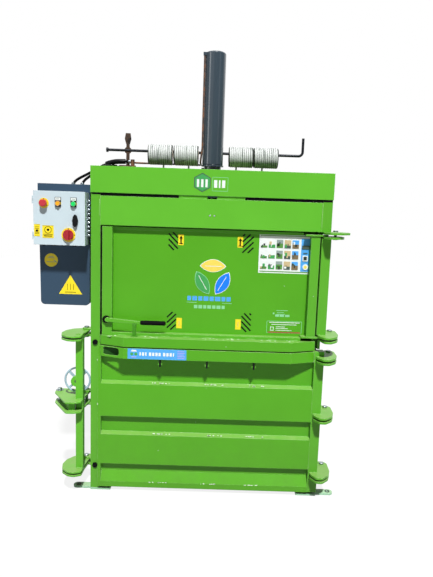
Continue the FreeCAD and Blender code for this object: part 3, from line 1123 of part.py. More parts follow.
ROLL_SEGMENTS = 14
roll_winding = winding(ROLL_SEGMENTS)
ROLL_Z = "(spool_z+spool_rod+roll_gap-roll_bore)"
roll_half = "((roll_turns+1)*strap_pitch/2)"
for index, middle in enumerate(("-345", "-179", "173", "334"), start=1):
    core = turned(f"roll_core{index}", "x", (f"{middle}-{roll_half}", "spool_y", ROLL_Z),
                  [("roll_bore", "0"), ("roll_core", "0"), ("roll_core", f"2*{roll_half}"),
                   ("roll_bore", f"2*{roll_half}")])
    turns_item = doc.addObject("Part::Feature", f"roll_turns{index}")
    turns_item.Shape = roll_winding
    turns_item.Placement = FreeCAD.Placement(Vector(), FreeCAD.Rotation())
    place(turns_item, middle, "spool_y", ROLL_Z)
    node(f"strap_roll_{index}", group(f"roll_set{index}", core, turns_item))

tail_y = "spool_y+roll_core*1.026+roll_gap*2+strap_depth"
tails = []
for index, middle in enumerate(("-332", "-166", "148", "319")):
    tails.append(box(f"tail_{index}", (f"{middle}-strap_width/2", f"{middle}+strap_width/2"),
                     (tail_y, f"{tail_y}+strap_thin"), (f"{HEAD_BOTTOM}+18", ROLL_Z)))
node("strap_tails", group("tail_set", *tails))

# ---------------------------------------------------------------- pipes and hoses

MANIFOLD_LOW = f"({HEAD_TOP}+stand_thick)"
manifold = box("manifold_block", ("-manifold_left", "-manifold_right"),
               ("manifold_front", "manifold_front+manifold_depth"),
               (MANIFOLD_LOW, f"{MANIFOLD_LOW}+manifold_height"))
manifold_top = number(f"{MANIFOLD_LOW}+manifold_height")
manifold_y = number("manifold_front+manifold_depth/2")
pipe_radius = number("pipe_radius")
run_z = number(f"{HEAD_TOP}+pipe_rise")
run_y = number("spool_y+pipe_room")
pass_x = number("cylinder_x-barrel_radius-pipe_gap")
cap_x = -number("manifold_right+cap_inset")
cap_y = number("manifold_front+cap_inset-3")
riser = Vector(number(riser_x), number(riser_y), 0)
cap_route = [Vector(cap_x, cap_y, manifold_top), Vector(cap_x, cap_y, run_z),
             Vector(cap_x + 24, run_y, run_z), Vector(pass_x, run_y, run_z),
             Vector(pass_x, riser.y, run_z), riser + Vector(0, 0, run_z + 90),
             riser + Vector(0, 0, number(BARREL_TOP))]
cap_pipe = swept("cap_pipe", cap_route, [18, 26, 26, 26, 60], pipe_radius)
port_z = number(f"{MANIFOLD_LOW}+manifold_height/2")
rod_pipe = rod("rod_pipe", "x", ("-manifold_right", "manifold_front+manifold_depth/2",
                                 f"{MANIFOLD_LOW}+manifold_height/2"), "pipe_radius",
               "manifold_right+cylinder_x-70")
elbow = rod("return_elbow", "z", ("-elbow_x", "manifold_front+manifold_depth/2",
                                  f"{MANIFOLD_LOW}+manifold_height-1"), "ferrule_radius",
            "elbow_height+1")
node("hydraulic_pipes", group("pipe_set", fuse("manifold_weld", manifold, elbow), cap_pipe,
                              rod_pipe))

post_corner = Vector(-number(SIDE), 0, number("cover_top+lid_height"))
elbow_side = -number("elbow_x+ferrule_radius") - 0.05
elbow_z = manifold_top + number("elbow_height") - 14
manifold_side = -number("manifold_left")
leaving = {
    "return_hose": ((-153, -190, 0), (-153, -190, 24), (-60, -140, 81), (-7, -40, 133), (45, 15, 163)),
    "pressure_hose": ((-99, -190, 0), (-99, -190, 24), (-37, -165, 73), (-10, -120, 119), (30, -20, 131)),
}
arriving = {
    "return_hose": [Vector(elbow_side - 50, manifold_y, elbow_z), Vector(elbow_side, manifold_y, elbow_z)],
    "pressure_hose": [Vector(manifold_side - 30, manifold_y, port_z),
                      Vector(manifold_side, manifold_y, port_z)],
}
routes = {name: [post_corner + Vector(*step) for step in steps] + arriving[name]
          for name, steps in leaving.items()}
for name, points in routes.items():
    hose = swept(name + "_tube", points, hose_bends(points), number("hose_radius"))
    first = (points[1] - points[0]).normalize()
    last = (points[-2] - points[-1]).normalize()
    ferrules = []
    for index, (at, way) in enumerate(((points[0], first), (points[-1], last))):
        item = doc.addObject("Part::Feature", f"{name}_ferrule{index}")
        item.Shape = Part.makeCylinder(number("ferrule_radius"), number("ferrule_length"), at, way)
        ferrules.append(item)
    node(name, fuse(name + "_assembly", hose, *ferrules))

# ---------------------------------------------------------------- check and write

doc.recompute()
for item in doc.Objects:
    states = set(item.State)
    if states & {"Invalid", "Error"}:
        raise RuntimeError(f"{item.Name} did not recompute: {states}")
os.makedirs("parts", exist_ok=True)
for name, item in nodes.items():
    shape = item.Shape
    if shape.isNull() or not shape.isValid():
        raise RuntimeError(f"{name} has no valid shape")
    shape.exportStep(f"parts/{name}.step")
total = sum(item.Shape.Volume for item in nodes.values()) / 1e9
print(len(nodes), "nodes written,", round(total, 4), "cubic metres of material")
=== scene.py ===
# %% [markdown]
# # A vertical recycling baler, dressed
# The machine is pressed sheet steel under green powder coat, with an upright hydraulic cylinder,
# a grey power unit and rolls of strap. The shapes come from the CAD frame in metres. This lesson
# gives each of them its real finish and adds the thin things that CAD leaves out: vinyl labels,
# weld beads, bolts, wound strap, hoses, sealant and the switchgear inside the control box.

# %% Load the frame
import json
import math
import bmesh
import bpy
from mathutils import Matrix, Vector


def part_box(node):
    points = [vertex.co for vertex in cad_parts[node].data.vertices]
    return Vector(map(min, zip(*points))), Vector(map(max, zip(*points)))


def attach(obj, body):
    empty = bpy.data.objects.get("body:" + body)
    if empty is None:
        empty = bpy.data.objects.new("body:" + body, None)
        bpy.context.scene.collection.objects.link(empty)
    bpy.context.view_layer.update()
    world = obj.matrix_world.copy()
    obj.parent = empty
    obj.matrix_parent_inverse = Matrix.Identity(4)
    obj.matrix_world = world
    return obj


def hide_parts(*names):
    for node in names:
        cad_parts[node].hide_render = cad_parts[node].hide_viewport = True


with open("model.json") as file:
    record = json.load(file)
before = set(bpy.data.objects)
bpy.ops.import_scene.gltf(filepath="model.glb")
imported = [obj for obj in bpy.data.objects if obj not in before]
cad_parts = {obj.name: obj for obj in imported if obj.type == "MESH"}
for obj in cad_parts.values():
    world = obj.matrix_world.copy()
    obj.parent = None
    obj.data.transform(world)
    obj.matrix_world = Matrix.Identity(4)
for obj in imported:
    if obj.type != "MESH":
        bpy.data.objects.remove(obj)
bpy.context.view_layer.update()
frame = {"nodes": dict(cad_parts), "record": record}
MM = 0.001

# %% [markdown]
# ## Where the photographer stood
# The camera was found by fitting the machine's level and upright edges to the photograph. It is
# held a little above the machine's middle, tipped 8 degrees down and rolled 2 degrees. A lens is
# given as a length on a 36 mm sensor, and the sensor belongs to the picture's longer side.

# %% Camera
PHOTO_HEIGHT = 577
FOCAL_PIXELS = 550
SENSOR = 36.0            # mm
CAMERA_AT = Vector((0.0209, -3.5508, 1.6978))
YAW, PITCH, ROLL = 0.0065, 0.13867, -0.03355     # radians

forward = Vector((math.sin(YAW) * math.cos(PITCH), math.cos(YAW) * math.cos(PITCH),
                  -math.sin(PITCH)))
level_right = Vector((math.cos(YAW), -math.sin(YAW), 0))
level_up = level_right.cross(forward)
right = level_right * math.cos(ROLL) - level_up * math.sin(ROLL)
up = level_right * math.sin(ROLL) + level_up * math.cos(ROLL)
lens = bpy.data.cameras.new("camera")
lens.sensor_width = SENSOR
lens.lens = SENSOR * FOCAL_PIXELS / PHOTO_HEIGHT
camera = bpy.data.objects.new("camera", lens)
aim = Matrix((right, up, -forward)).transposed().to_4x4()
camera.matrix_world = Matrix.Translation(CAMERA_AT) @ aim
bpy.context.scene.collection.objects.link(camera)
bpy.context.scene.camera = camera
print("lens", round(lens.lens, 2), "mm")

# %% [markdown]
# ## Colours and nodes
# Shaders work in linear light, while a paint chart gives sRGB, so one function turns a hex value
# into what a shader needs. A second small function adds a node with its settings and its links.

# %% Colour and node helpers
def linear(colour):
    """A hex sRGB colour as linear red, green, blue and a full alpha."""
    parts = [int(colour[i:i + 2], 16) / 255 for i in (1, 3, 5)]
    return [p / 12.92 if p < 0.04045 else ((p + 0.055) / 1.055) ** 2.4 for p in parts] + [1.0]


def toned(colour, times, lift=0.0):
    """A hex colour made that many times as bright in linear light, plus an even lift."""
    return [min(1, c * times + lift) for c in linear(colour)[:3]] + [1.0]


def add(tree, kind, settings=None, **links):
    """Add a node. A link's name is the socket's, or in0, in1 and so on for its number."""
    made = tree.nodes.new("ShaderNode" + kind)
    for name, value in (settings or {}).items():
        setattr(made, name, value)
    for name, value in links.items():
        numbered = name[:2] == "in" and name[2:].isdigit()
        socket = made.inputs[int(name[2:]) if numbered else name.replace("_", " ")]
        if isinstance(value, bpy.types.NodeSocket):
            tree.links.new(value, socket)
        else:
            socket.default_value = value
    return made


def new_finish(name, colour, roughness, **sockets):
    """A material with its Principled shader, whose even values sit on the shader's own sockets."""
    finish = bpy.data.materials.new(name)
    finish.use_nodes = True
    finish.diffuse_color = linear(colour)
    tree = finish.node_tree
    shader = tree.nodes["Principled BSDF"]
    shader.inputs["Base Color"].default_value = linear(colour)
    shader.inputs["Roughness"].default_value = roughness
    for socket, value in sockets.items():
        shader.inputs[socket.replace("_", " ")].default_value = value
    place = add(tree, "TexCoord").outputs["Object"]
    return finish, tree, shader, place


print("pure green is", [round(c, 3) for c in linear("#5FB432")])

# %% [markdown]
# ## Soft studio light
# The photograph was lit from high in front, a little from the right: the header throws a band of
# shadow on the door panel, and the ledge throws its own outline on the bale door. A lamp far away
# does that evenly, and a disc four degrees wide gives its shadows a soft edge.

# %% Key lamp
LAMP_ELEVATION = math.radians(56)
LAMP_AZIMUTH = math.radians(8.5)
LAMP_WIDTH = math.radians(4)
LAMP_LEVEL = 1.575       # what a face that looks straight at the lamp receives
FILL_LEVEL = 0.108       # what comes from all round
BACKDROP_LEVEL = 0.60    # what the pale backdrop behind the machine throws on its back

towards_lamp = Vector((math.sin(LAMP_AZIMUTH) * math.cos(LAMP_ELEVATION),
                       -math.cos(LAMP_AZIMUTH) * math.cos(LAMP_ELEVATION),
                       math.sin(LAMP_ELEVATION)))
lamp_data = bpy.data.lights.new("key_lamp", "SUN")
lamp_data.angle = LAMP_WIDTH
lamp_data.energy = LAMP_LEVEL * math.pi
lamp = bpy.data.objects.new("key_lamp", lamp_data)
lamp.rotation_mode = "QUATERNION"
lamp.rotation_quaternion = towards_lamp.to_track_quat("Z", "Y")
bpy.context.scene.collection.objects.link(lamp)
print("a front face receives", round(LAMP_LEVEL * -towards_lamp.y + FILL_LEVEL, 2))

# %% [markdown]
# ## The room
# The camera sees a white room. The paint is lit by a dim even one instead, so that the white
# background never adds light to it. Only from behind does more reach it, because the pale
# backdrop stands there. Mirror-like surfaces see that backdrop too, and on the photographer's
# side a darker hall with upright strips of window, which draw the long streaks on the cylinder.
# The strips stand at fixed bearings, so they stay put in other views.

# %% World
HALL_PEAK = 3.0          # the level of the brightest strip
STRIPS = (               # degrees to the right of straight ahead, and share of the peak
    (-180, 0.30), (-120, 0.30), (-96, 0.08), (-68, 0.07), (-64, 1.0), (-56, 1.0), (-52, 0.16),
    (-46, 0.17), (-20, 0.17), (-12, 0.07), (44, 0.05), (51, 0.20), (55, 0.20), (59, 0.05),
    (96, 0.05), (120, 0.30), (180, 0.30))
BACKDROP_FROM = 0.3      # the backdrop's light starts where a direction's y passes this,
BACKDROP_FULL = 0.7      # and is full from here on

world = bpy.data.worlds.new("studio")
bpy.context.scene.world = world
world.use_nodes = True
sky = world.node_tree
heading = add(sky, "SeparateXYZ", Vector=add(sky, "TexCoord").outputs["Generated"])
ahead = add(sky, "Math", {"operation": "MULTIPLY"}, in0=heading.outputs[1], in1=-1.0)
bearing = add(sky, "Math", {"operation": "ARCTAN2"}, in0=heading.outputs[0], in1=ahead.outputs[0])
way_round = add(sky, "MapRange", Value=bearing.outputs[0], From_Min=-math.pi, From_Max=math.pi)
hall = add(sky, "ValToRGB", Fac=way_round.outputs[0])
stops = hall.color_ramp.elements
for degrees, level in STRIPS:
    ends = {-180: stops[0], 180: stops[len(stops) - 1]}
    stop = ends.get(degrees) or stops.new((degrees + 180) / 360)
    stop.color = [level] * 3 + [1.0]
windows = add(sky, "Math", {"operation": "MULTIPLY"}, in0=hall.outputs["Color"], in1=HALL_PEAK)
ray = add(sky, "LightPath")
mirror = add(sky, "Math", {"operation": "MAXIMUM"}, in0=ray.outputs["Is Glossy Ray"],
             in1=ray.outputs["Is Transmission Ray"])
fill = add(sky, "MapRange", Value=heading.outputs[1], From_Min=BACKDROP_FROM,
           From_Max=BACKDROP_FULL, To_Min=FILL_LEVEL, To_Max=BACKDROP_LEVEL)
filled = add(sky, "Mix", {"data_type": "FLOAT"}, in0=mirror.outputs[0], in2=fill.outputs[0],
             in3=windows.outputs[0])
strength = add(sky, "Mix", {"data_type": "FLOAT"}, in0=ray.outputs["Is Camera Ray"],
               in2=filled.outputs[0], in3=1.0)
sky.links.new(strength.outputs[0], sky.nodes["Background"].inputs["Strength"])
sky.nodes["Background"].inputs["Color"].default_value = linear("#FFFFFF")
print("strips:", len(STRIPS), "stops")

# %% [markdown]
# ## The floor
# A pale floor stands under the machine. To the camera it is mostly white of its own, so that the
# shadow on it stays light, and to the paint it is a mid grey, so that it throws little light back.

# %% Floor
FLOOR_HALF = 14.0        # m
FLOOR_GLOW = 0.86        # how much of what the camera sees of it is its own white
FLOOR_COLOUR = "#F4F4F2"
FLOOR_TO_PAINT = "#8A8A88"       # what light that goes on to the paint finds there
CORNERS = ((-1, -1), (1, -1), (1, 1), (-1, 1))
floor_mesh = bpy.data.meshes.new("floor")
floor_mesh.from_pydata([(x * FLOOR_HALF, y * FLOOR_HALF, 0) for x, y in CORNERS], [],
                       [(0, 1, 2, 3)])
floor = bpy.data.objects.new("floor", floor_mesh)
bpy.context.scene.collection.objects.link(floor)
pale_floor, tree, shader, _ = new_finish("pale_sealed_concrete", FLOOR_COLOUR, 0.8,
                                         Specular_IOR_Level=0.1)
ray = add(tree, "LightPath")
bounce = add(tree, "Mix", {"data_type": "RGBA"}, in0=ray.outputs["Is Diffuse Ray"],
             in6=linear(FLOOR_COLOUR), in7=linear(FLOOR_TO_PAINT))
tree.links.new(bounce.outputs[2], shader.inputs["Base Color"])
glow = add(tree, "Emission", Color=linear("#FFFFFF"), Strength=1.0)
glow_share = add(tree, "MapRange", Value=ray.outputs["Is Diffuse Ray"], To_Min=FLOOR_GLOW,
                 To_Max=0.0)
mixed = add(tree, "MixShader", in0=glow_share.outputs[0], in1=shader.outputs[0],
            in2=glow.outputs[0])
tree.links.new(mixed.outputs[0], tree.nodes["Material Output"].inputs["Surface"])
floor_mesh.materials.append(pale_floor)
bpy.context.scene.view_settings.view_transform = "Standard"
print("floor", 2 * FLOOR_HALF, "m wide")

# %% [markdown]
# ## Powder coat on steel
# Powder coat is a plastic film baked on to the steel. Its skin has a faint orange peel and sheds
# light softly. On an edge it gathers into a small round that catches the light. The bevel node
# draws that round, 3 mm wide, without touching the mesh, and where it turns the normal the edge
# is painted paler: partly paint rubbed by handling, partly a painted highlight along every edge.
# The film is a little uneven in colour over a hand's breadth, dust lies on level faces, grime sits
# low down, and small knocks show as chips.

# %% Powder-coated steel
PEEL = 9.0           # mm between the peel's crests: the real 2 mm is too fine to show
BLOTCH = 300.0       # mm between paler and deeper patches
CHIP = 55.0          # mm between places where a chip may be
CHIP_REACH = 0.045   # a chip's radius as a share of that
PALE_EDGE_SPACING = 60.0           # mm between the paler lengths of an edge, rubbed and painted highlit
EDGE_ROUND = 3.0     # mm
GRIME_TOP = 0.7      # m above the floor where grime ends
GRIME_PATCHES = 14.0     # a metre
SMEARS = 11.0            # a metre: the size of a wiping hand
LYING_DUST = "#A3AE78"
LOW_GRIME = "#4F7A2C"
EDGE_WEAR_AND_HIGHLIGHT = "#BFE3A2"
BARE_CHIP = "#C9D8BE"


def powder_coat(name, colour, roughness=0.36, chips=0.92, dusty=True, edge_wear_and_highlight=EDGE_WEAR_AND_HIGHLIGHT):
    """Painted sheet: patches, dust, chips, rubbed edges with a painted highlight, peeled skin."""
    finish, tree, shader, place = new_finish(name, colour, roughness, Specular_IOR_Level=0.26)
    patch = add(tree, "TexNoise", Vector=place, Scale=1000 / BLOTCH, Detail=4.0, Roughness=0.6)
    shade = add(tree, "Mix", {"data_type": "RGBA"}, in0=patch.outputs["Fac"],
                in6=toned(colour, 0.9), in7=toned(colour, 1.1))
    cells = add(tree, "TexVoronoi", Vector=place, Scale=1000 / CHIP, Randomness=1.0)
    lot = add(tree, "SeparateColor", Color=cells.outputs["Color"])
    chosen = add(tree, "Math", {"operation": "GREATER_THAN"}, in0=lot.outputs[0], in1=chips)
    close = add(tree, "Math", {"operation": "LESS_THAN"}, in0=cells.outputs["Distance"],
                in1=CHIP_REACH)
    chip = add(tree, "Math", {"operation": "MULTIPLY"}, in0=chosen.outputs[0],
               in1=close.outputs[0])
    last = add(tree, "Mix", {"data_type": "RGBA"}, in0=chip.outputs[0], in6=shade.outputs[2],
               in7=linear(BARE_CHIP)).outputs[2]
    facing = add(tree, "NewGeometry").outputs["Normal"]
    if dusty:
        grime = add(tree, "TexNoise", Vector=place, Scale=GRIME_PATCHES, Detail=6.0,
                    Roughness=0.75)
        height = add(tree, "SeparateXYZ", Vector=place)
        upward = add(tree, "SeparateXYZ", Vector=facing)
        low = add(tree, "MapRange", Value=height.outputs[2], From_Min=0.0, From_Max=GRIME_TOP,
                  To_Min=0.7, To_Max=0.0)
        lying = add(tree, "MapRange", Value=upward.outputs[2], From_Min=0.5, From_Max=1.0,
                    To_Max=0.6)
        for reach, soil in ((low, LOW_GRIME), (lying, LYING_DUST)):
            film = add(tree, "Math", {"operation": "MULTIPLY"}, in0=reach.outputs[0],
                       in1=grime.outputs["Fac"])
            last = add(tree, "Mix", {"data_type": "RGBA"}, in0=film.outputs[0], in6=last,
                       in7=linear(soil)).outputs[2]
    # edges are painted paler: partly paint rubbed by handling, partly a painted highlight
    round_edge = add(tree, "Bevel", {"samples": 4}, Radius=EDGE_ROUND * MM)
    flat = add(tree, "VectorMath", {"operation": "DOT_PRODUCT"}, in0=round_edge.outputs[0],
               in1=facing)
    edge = add(tree, "MapRange", Value=flat.outputs["Value"], From_Min=0.995, From_Max=0.93)
    pale_edge_noise = add(tree, "TexNoise", Vector=place, Scale=1000 / PALE_EDGE_SPACING, Detail=4.0, Roughness=0.7)
    often = add(tree, "MapRange", Value=pale_edge_noise.outputs["Fac"], From_Min=0.42, From_Max=0.66,
                To_Min=0.12, To_Max=0.85)
    worn_and_highlit_edge = add(tree, "Math", {"operation": "MULTIPLY"}, in0=edge.outputs[0],
               in1=often.outputs[0])
    last = add(tree, "Mix", {"data_type": "RGBA"}, in0=worn_and_highlit_edge.outputs[0], in6=last,
               in7=linear(edge_wear_and_highlight)).outputs[2]
    tree.links.new(last, shader.inputs["Base Color"])
    smeared = add(tree, "TexNoise", Vector=place, Scale=SMEARS, Detail=3.0)
    worn = add(tree, "MapRange", Value=smeared.outputs["Fac"], To_Min=roughness - 0.09,
               To_Max=roughness + 0.09)
    tree.links.new(worn.outputs[0], shader.inputs["Roughness"])
    peel = add(tree, "TexNoise", Vector=place, Scale=1000 / PEEL, Detail=2.0)
    skin = add(tree, "Bump", Height=peel.outputs["Fac"], Strength=0.08, Distance=0.6 * MM,
               Normal=round_edge.outputs[0])
    tree.links.new(skin.outputs[0], shader.inputs["Normal"])
    return finish


finishes = {
    "machine_green": powder_coat("green_powder_coat", "#5AA82B"),
    "door_green": powder_coat("deep_green_powder_coat", "#53A31E", chips=0.9),
    "cover_anthracite": powder_coat("anthracite_powder_coat", "#32475B", 0.42, chips=0.97,
                                    dusty=False, edge_wear_and_highlight="#7C90A4"),
    "enclosure_grey": powder_coat("light_grey_powder_coat", "#C6D6DD", 0.4, chips=0.99,
                                  dusty=False, edge_wear_and_highlight="#EEF4F6"),
}
print("powder coats:", ", ".join(f.name for f in finishes.values()))

# %% [markdown]
# ## Sprayed enamel
# The cylinder and the pump are sprayed with a wet grey-blue enamel, and the handwheel with a pale
# blue one. Enamel flows out smoother than powder, so it gets a clear coat and runs in long soft
# waves that bend the reflections. Its colour is also streaked lighter and darker along the
# upright, as a painted reflection.

# %% Gloss enamel
def gloss_enamel(name, colour, wave, roughness=0.3, coat=0.6):
    """Wet-sprayed paint with a glassy top and slow waves, wave mm apart, along the upright."""
    finish, tree, shader, place = new_finish(name, colour, roughness, Coat_Weight=coat,
                                             Coat_Roughness=0.06)
    stretched = add(tree, "Mapping", Vector=place, Scale=(1.0, 1.0, 0.12))
    run = add(tree, "TexNoise", Vector=stretched.outputs[0], Scale=1000 / wave, Detail=3.0)
    # painted reflection: the colour streaks lighter and darker along the upright
    shade = add(tree, "Mix", {"data_type": "RGBA"}, in0=run.outputs["Fac"],
                in6=toned(colour, 0.72), in7=toned(colour, 1.3))
    tree.links.new(shade.outputs[2], shader.inputs["Base Color"])
    skin = add(tree, "Bump", Height=run.outputs["Fac"], Strength=0.35, Distance=1.5 * MM)
    tree.links.new(skin.outputs[0], shader.inputs["Normal"])
    return finish


finishes["cylinder_grey"] = gloss_enamel("slate_gloss_enamel", "#34424D", wave=42,
                                         roughness=0.25, coat=1.0)
finishes["wheel_enamel"] = gloss_enamel("pale_blue_enamel", "#9DB6C4", wave=20, roughness=0.4,
                                        coat=0.3)
print("enamels: slate for the cylinder, pale blue for the wheel")

# %% [markdown]
# ## Bare and plated metals
# Zinc plate is grey with a bluish cast and faint crystals. Hot-rolled bar keeps its black scale
# and rusts brown where the scale is rubbed off. Hard chrome is ground round the rod, so it is
# nearly a mirror. Metals keep the default IOR, because their colour sets the reflection.

# %% Metals
GRIT = 5.0           # mm between the pits of mill scale
RUST_PATCHES = 26.0  # a metre
RING = 6.0           # draws the grinding's rings 1.9 mm apart: the real ones are too fine to show


def plated_zinc(name, colour, crystal):
    """Zinc plate with faint crystals, crystal mm across."""
    finish, tree, shader, place = new_finish(name, colour, 0.34, Metallic=1.0)
    flake = add(tree, "TexVoronoi", Vector=place, Scale=1000 / crystal)
    tone = add(tree, "SeparateColor", Color=flake.outputs["Color"])
    shade = add(tree, "Mix", {"data_type": "RGBA"}, in0=tone.outputs[0],
                in6=toned(colour, 0.7), in7=toned(colour, 1.25))
    tree.links.new(shade.outputs[2], shader.inputs["Base Color"])
    matt = add(tree, "MapRange", Value=tone.outputs[1], To_Min=0.26, To_Max=0.48)
    tree.links.new(matt.outputs[0], shader.inputs["Roughness"])
    return finish


def scaled_steel(name, colour, rust_colour, rust_share):
    """Hot-rolled steel: dark scale, with rust over about that share of it."""
    finish, tree, shader, place = new_finish(name, colour, 0.5, Metallic=0.55)
    spread = add(tree, "TexNoise", Vector=place, Scale=RUST_PATCHES, Detail=8.0, Roughness=0.7)
    rusty = add(tree, "MapRange", Value=spread.outputs["Fac"], From_Min=0.62 - 0.3 * rust_share,
                From_Max=0.72 - 0.3 * rust_share)
    shade = add(tree, "Mix", {"data_type": "RGBA"}, in0=rusty.outputs[0], in6=linear(colour),
                in7=linear(rust_colour))
    tree.links.new(shade.outputs[2], shader.inputs["Base Color"])
    matt = add(tree, "MapRange", Value=rusty.outputs[0], To_Min=0.42, To_Max=0.85)
    tree.links.new(matt.outputs[0], shader.inputs["Roughness"])
    grit = add(tree, "TexNoise", Vector=place, Scale=1000 / GRIT, Detail=4.0)
    skin = add(tree, "Bump", Height=grit.outputs["Fac"], Strength=0.25, Distance=0.5 * MM)
    tree.links.new(skin.outputs[0], shader.inputs["Normal"])
    return finish


def hard_chrome(name):
    """Ground chrome with the grinding's fine rings round the rod."""
    finish, tree, shader, place = new_finish(name, "#C9CCD0", 0.12, Metallic=1.0)
    ring = add(tree, "TexWave", {"bands_direction": "Z"}, Vector=place, Scale=1000 / RING,
               Distortion=0.4)
    skin = add(tree, "Bump", Height=ring.outputs["Fac"], Strength=0.03, Distance=0.1 * MM)
    tree.links.new(skin.outputs[0], shader.inputs["Normal"])
    return finish


finishes["zinc_steel"] = plated_zinc("bright_zinc_plate", "#AEB8BC", crystal=7)
finishes["dark_steel"] = scaled_steel("hot_rolled_steel", "#3B3A3C", "#6A4A38", 0.25)
finishes["rod_chrome"] = hard_chrome("hard_chrome")
print("metals: zinc plate, mill scale and hard chrome")

# %% [markdown]
# ## Rubber, plastics, vinyl and strap
# Moulded caps are glossy with a slight skin from the tool. Rubber is matt, with paler smudges.
# Vinyl labels are printed film, so they are smooth, and their black ink shines least. The strap
# is corded polyester: threads run along it, so it shows fine ribs and a silky sheen, and handling
# leaves dark streaks round the roll.

# %% Plastics, rubber and vinyl
SMUDGES = 30.0       # a metre: fingermarks, which change the colour and the gloss


def moulded_plastic(name, colour, roughness, grain=3.0, depth=0.15, gloss=0.5):
    """Moulded plastic or rubber with a fine tool skin, grain mm apart."""
    finish, tree, shader, place = new_finish(name, colour, roughness, Specular_IOR_Level=gloss)
    skin_grain = add(tree, "TexNoise", Vector=place, Scale=1000 / grain, Detail=3.0)
    smear = add(tree, "TexNoise", Vector=place, Scale=SMUDGES, Detail=4.0)
    shade = add(tree, "Mix", {"data_type": "RGBA"}, in0=smear.outputs["Fac"],
                in6=toned(colour, 0.86), in7=toned(colour, 1.1, lift=0.004))
    tree.links.new(shade.outputs[2], shader.inputs["Base Color"])
    matt = add(tree, "MapRange", Value=smear.outputs["Fac"], To_Min=roughness * 0.8,
               To_Max=min(1.0, roughness * 1.25))
    tree.links.new(matt.outputs[0], shader.inputs["Roughness"])
    skin = add(tree, "Bump", Height=skin_grain.outputs["Fac"], Strength=depth, Distance=0.2 * MM)
    tree.links.new(skin.outputs[0], shader.inputs["Normal"])
    return finish


finishes["black_rubber"] = moulded_plastic("black_rubber", "#060708", 0.7, grain=4, depth=0.3,
                                           gloss=0.06)
finishes["black_plastic"] = moulded_plastic("black_nylon", "#090A0D", 0.42, gloss=0.16)
finishes["red_plastic"] = moulded_plastic("red_abs", "#C2343F", 0.32)
finishes["yellow_plastic"] = moulded_plastic("yellow_abs", "#FBD81F", 0.35)
finishes["orange_plastic"] = moulded_plastic("orange_acrylic", "#FFAA1C", 0.22)
finishes["green_plastic"] = moulded_plastic("green_acrylic", "#12DD66", 0.22)
VINYL_COLOURS = {
    "yellow": "#F5DC22", "white": "#E9EFEC", "sky": "#4FA8EE", "blue": "#0A7DF2",
    "leaf": "#3FA052", "straw": "#EFD75C", "rust": "#A1553A", "lilac": "#A9A9EE",
    "grey": "#8FA09A", "mint": "#8BD39A", "moss": "#57913F", "slate": "#44584B",
    "sand": "#C9B58A", "soot": "#1E2A22", "earth": "#7A6A4A"}
vinyl = {tone: moulded_plastic(f"{tone}_vinyl", colour, 0.38, grain=6, depth=0.05)
         for tone, colour in VINYL_COLOURS.items()}
vinyl["black"] = moulded_plastic("black_vinyl", "#060705", 0.45, grain=6, depth=0.05, gloss=0.12)
print("vinyl in", len(vinyl), "colours")

# %% Corded polyester
THREAD = 3.0         # mm across a cord, and as much between: the real 0.5 mm is too fine to show
WAVE_FIT = 6.283     # a wave at the scale 1 / (width x this) has bands that are so wide
SOIL_PATCHES = 22.0  # a metre
ROUND_THE_ROLL = (90.0, 7.0, 7.0)    # streaks a metre: close along the axis, long round it
HANDLED = "#4C5A50"


def corded_polyester(name, colour):
    """Woven strap: ribs of thread with a silky sheen, soiled hollows and streaks of handling."""
    finish, tree, shader, place = new_finish(name, colour, 0.62, Sheen_Weight=0.35,
                                             Sheen_Roughness=0.4)
    cord = add(tree, "TexWave", {"bands_direction": "X"}, Vector=place,
               Scale=1000 / THREAD / WAVE_FIT, Distortion=1.2, Detail=2.0)
    soil = add(tree, "TexNoise", Vector=place, Scale=SOIL_PATCHES, Detail=5.0, Roughness=0.7)
    mixed = add(tree, "Math", {"operation": "MULTIPLY"}, in0=cord.outputs["Fac"],
                in1=soil.outputs["Fac"])
    shade = add(tree, "Mix", {"data_type": "RGBA"}, in0=mixed.outputs[0],
                in6=toned(colour, 0.72), in7=toned(colour, 1.45))
    round_way = add(tree, "Mapping", Vector=place, Scale=ROUND_THE_ROLL)
    streak = add(tree, "TexNoise", Vector=round_way.outputs[0], Scale=1.0, Detail=2.0)
    soiled = add(tree, "MapRange", Value=streak.outputs["Fac"], From_Min=0.56, From_Max=0.66,
                 To_Max=0.7)
    shade = add(tree, "Mix", {"data_type": "RGBA"}, in0=soiled.outputs[0], in6=shade.outputs[2],
                in7=linear(HANDLED))
    tree.links.new(shade.outputs[2], shader.inputs["Base Color"])
    skin = add(tree, "Bump", Height=cord.outputs["Fac"], Strength=0.5, Distance=0.4 * MM)
    tree.links.new(skin.outputs[0], shader.inputs["Normal"])
    return finish


finishes["strap_white"] = corded_polyester("corded_polyester", "#DDE3DF")
print("finishes:", ", ".join(finishes))

# %% [markdown]
# ## Dressing the CAD nodes
# The record says which finish each node has, so one loop dresses them all. Some nodes get one
# of their own, because the real pieces differ: the strap stand is rusted flat bar and its rod is
# blued, the pipe is tarnished, the isolator is a deeper red and the feet are trodden pale. The
# latch's rest gets a darker green that paints in the shadow of the latch bar. The head and the
# lock bar are a fresher green than the doors.

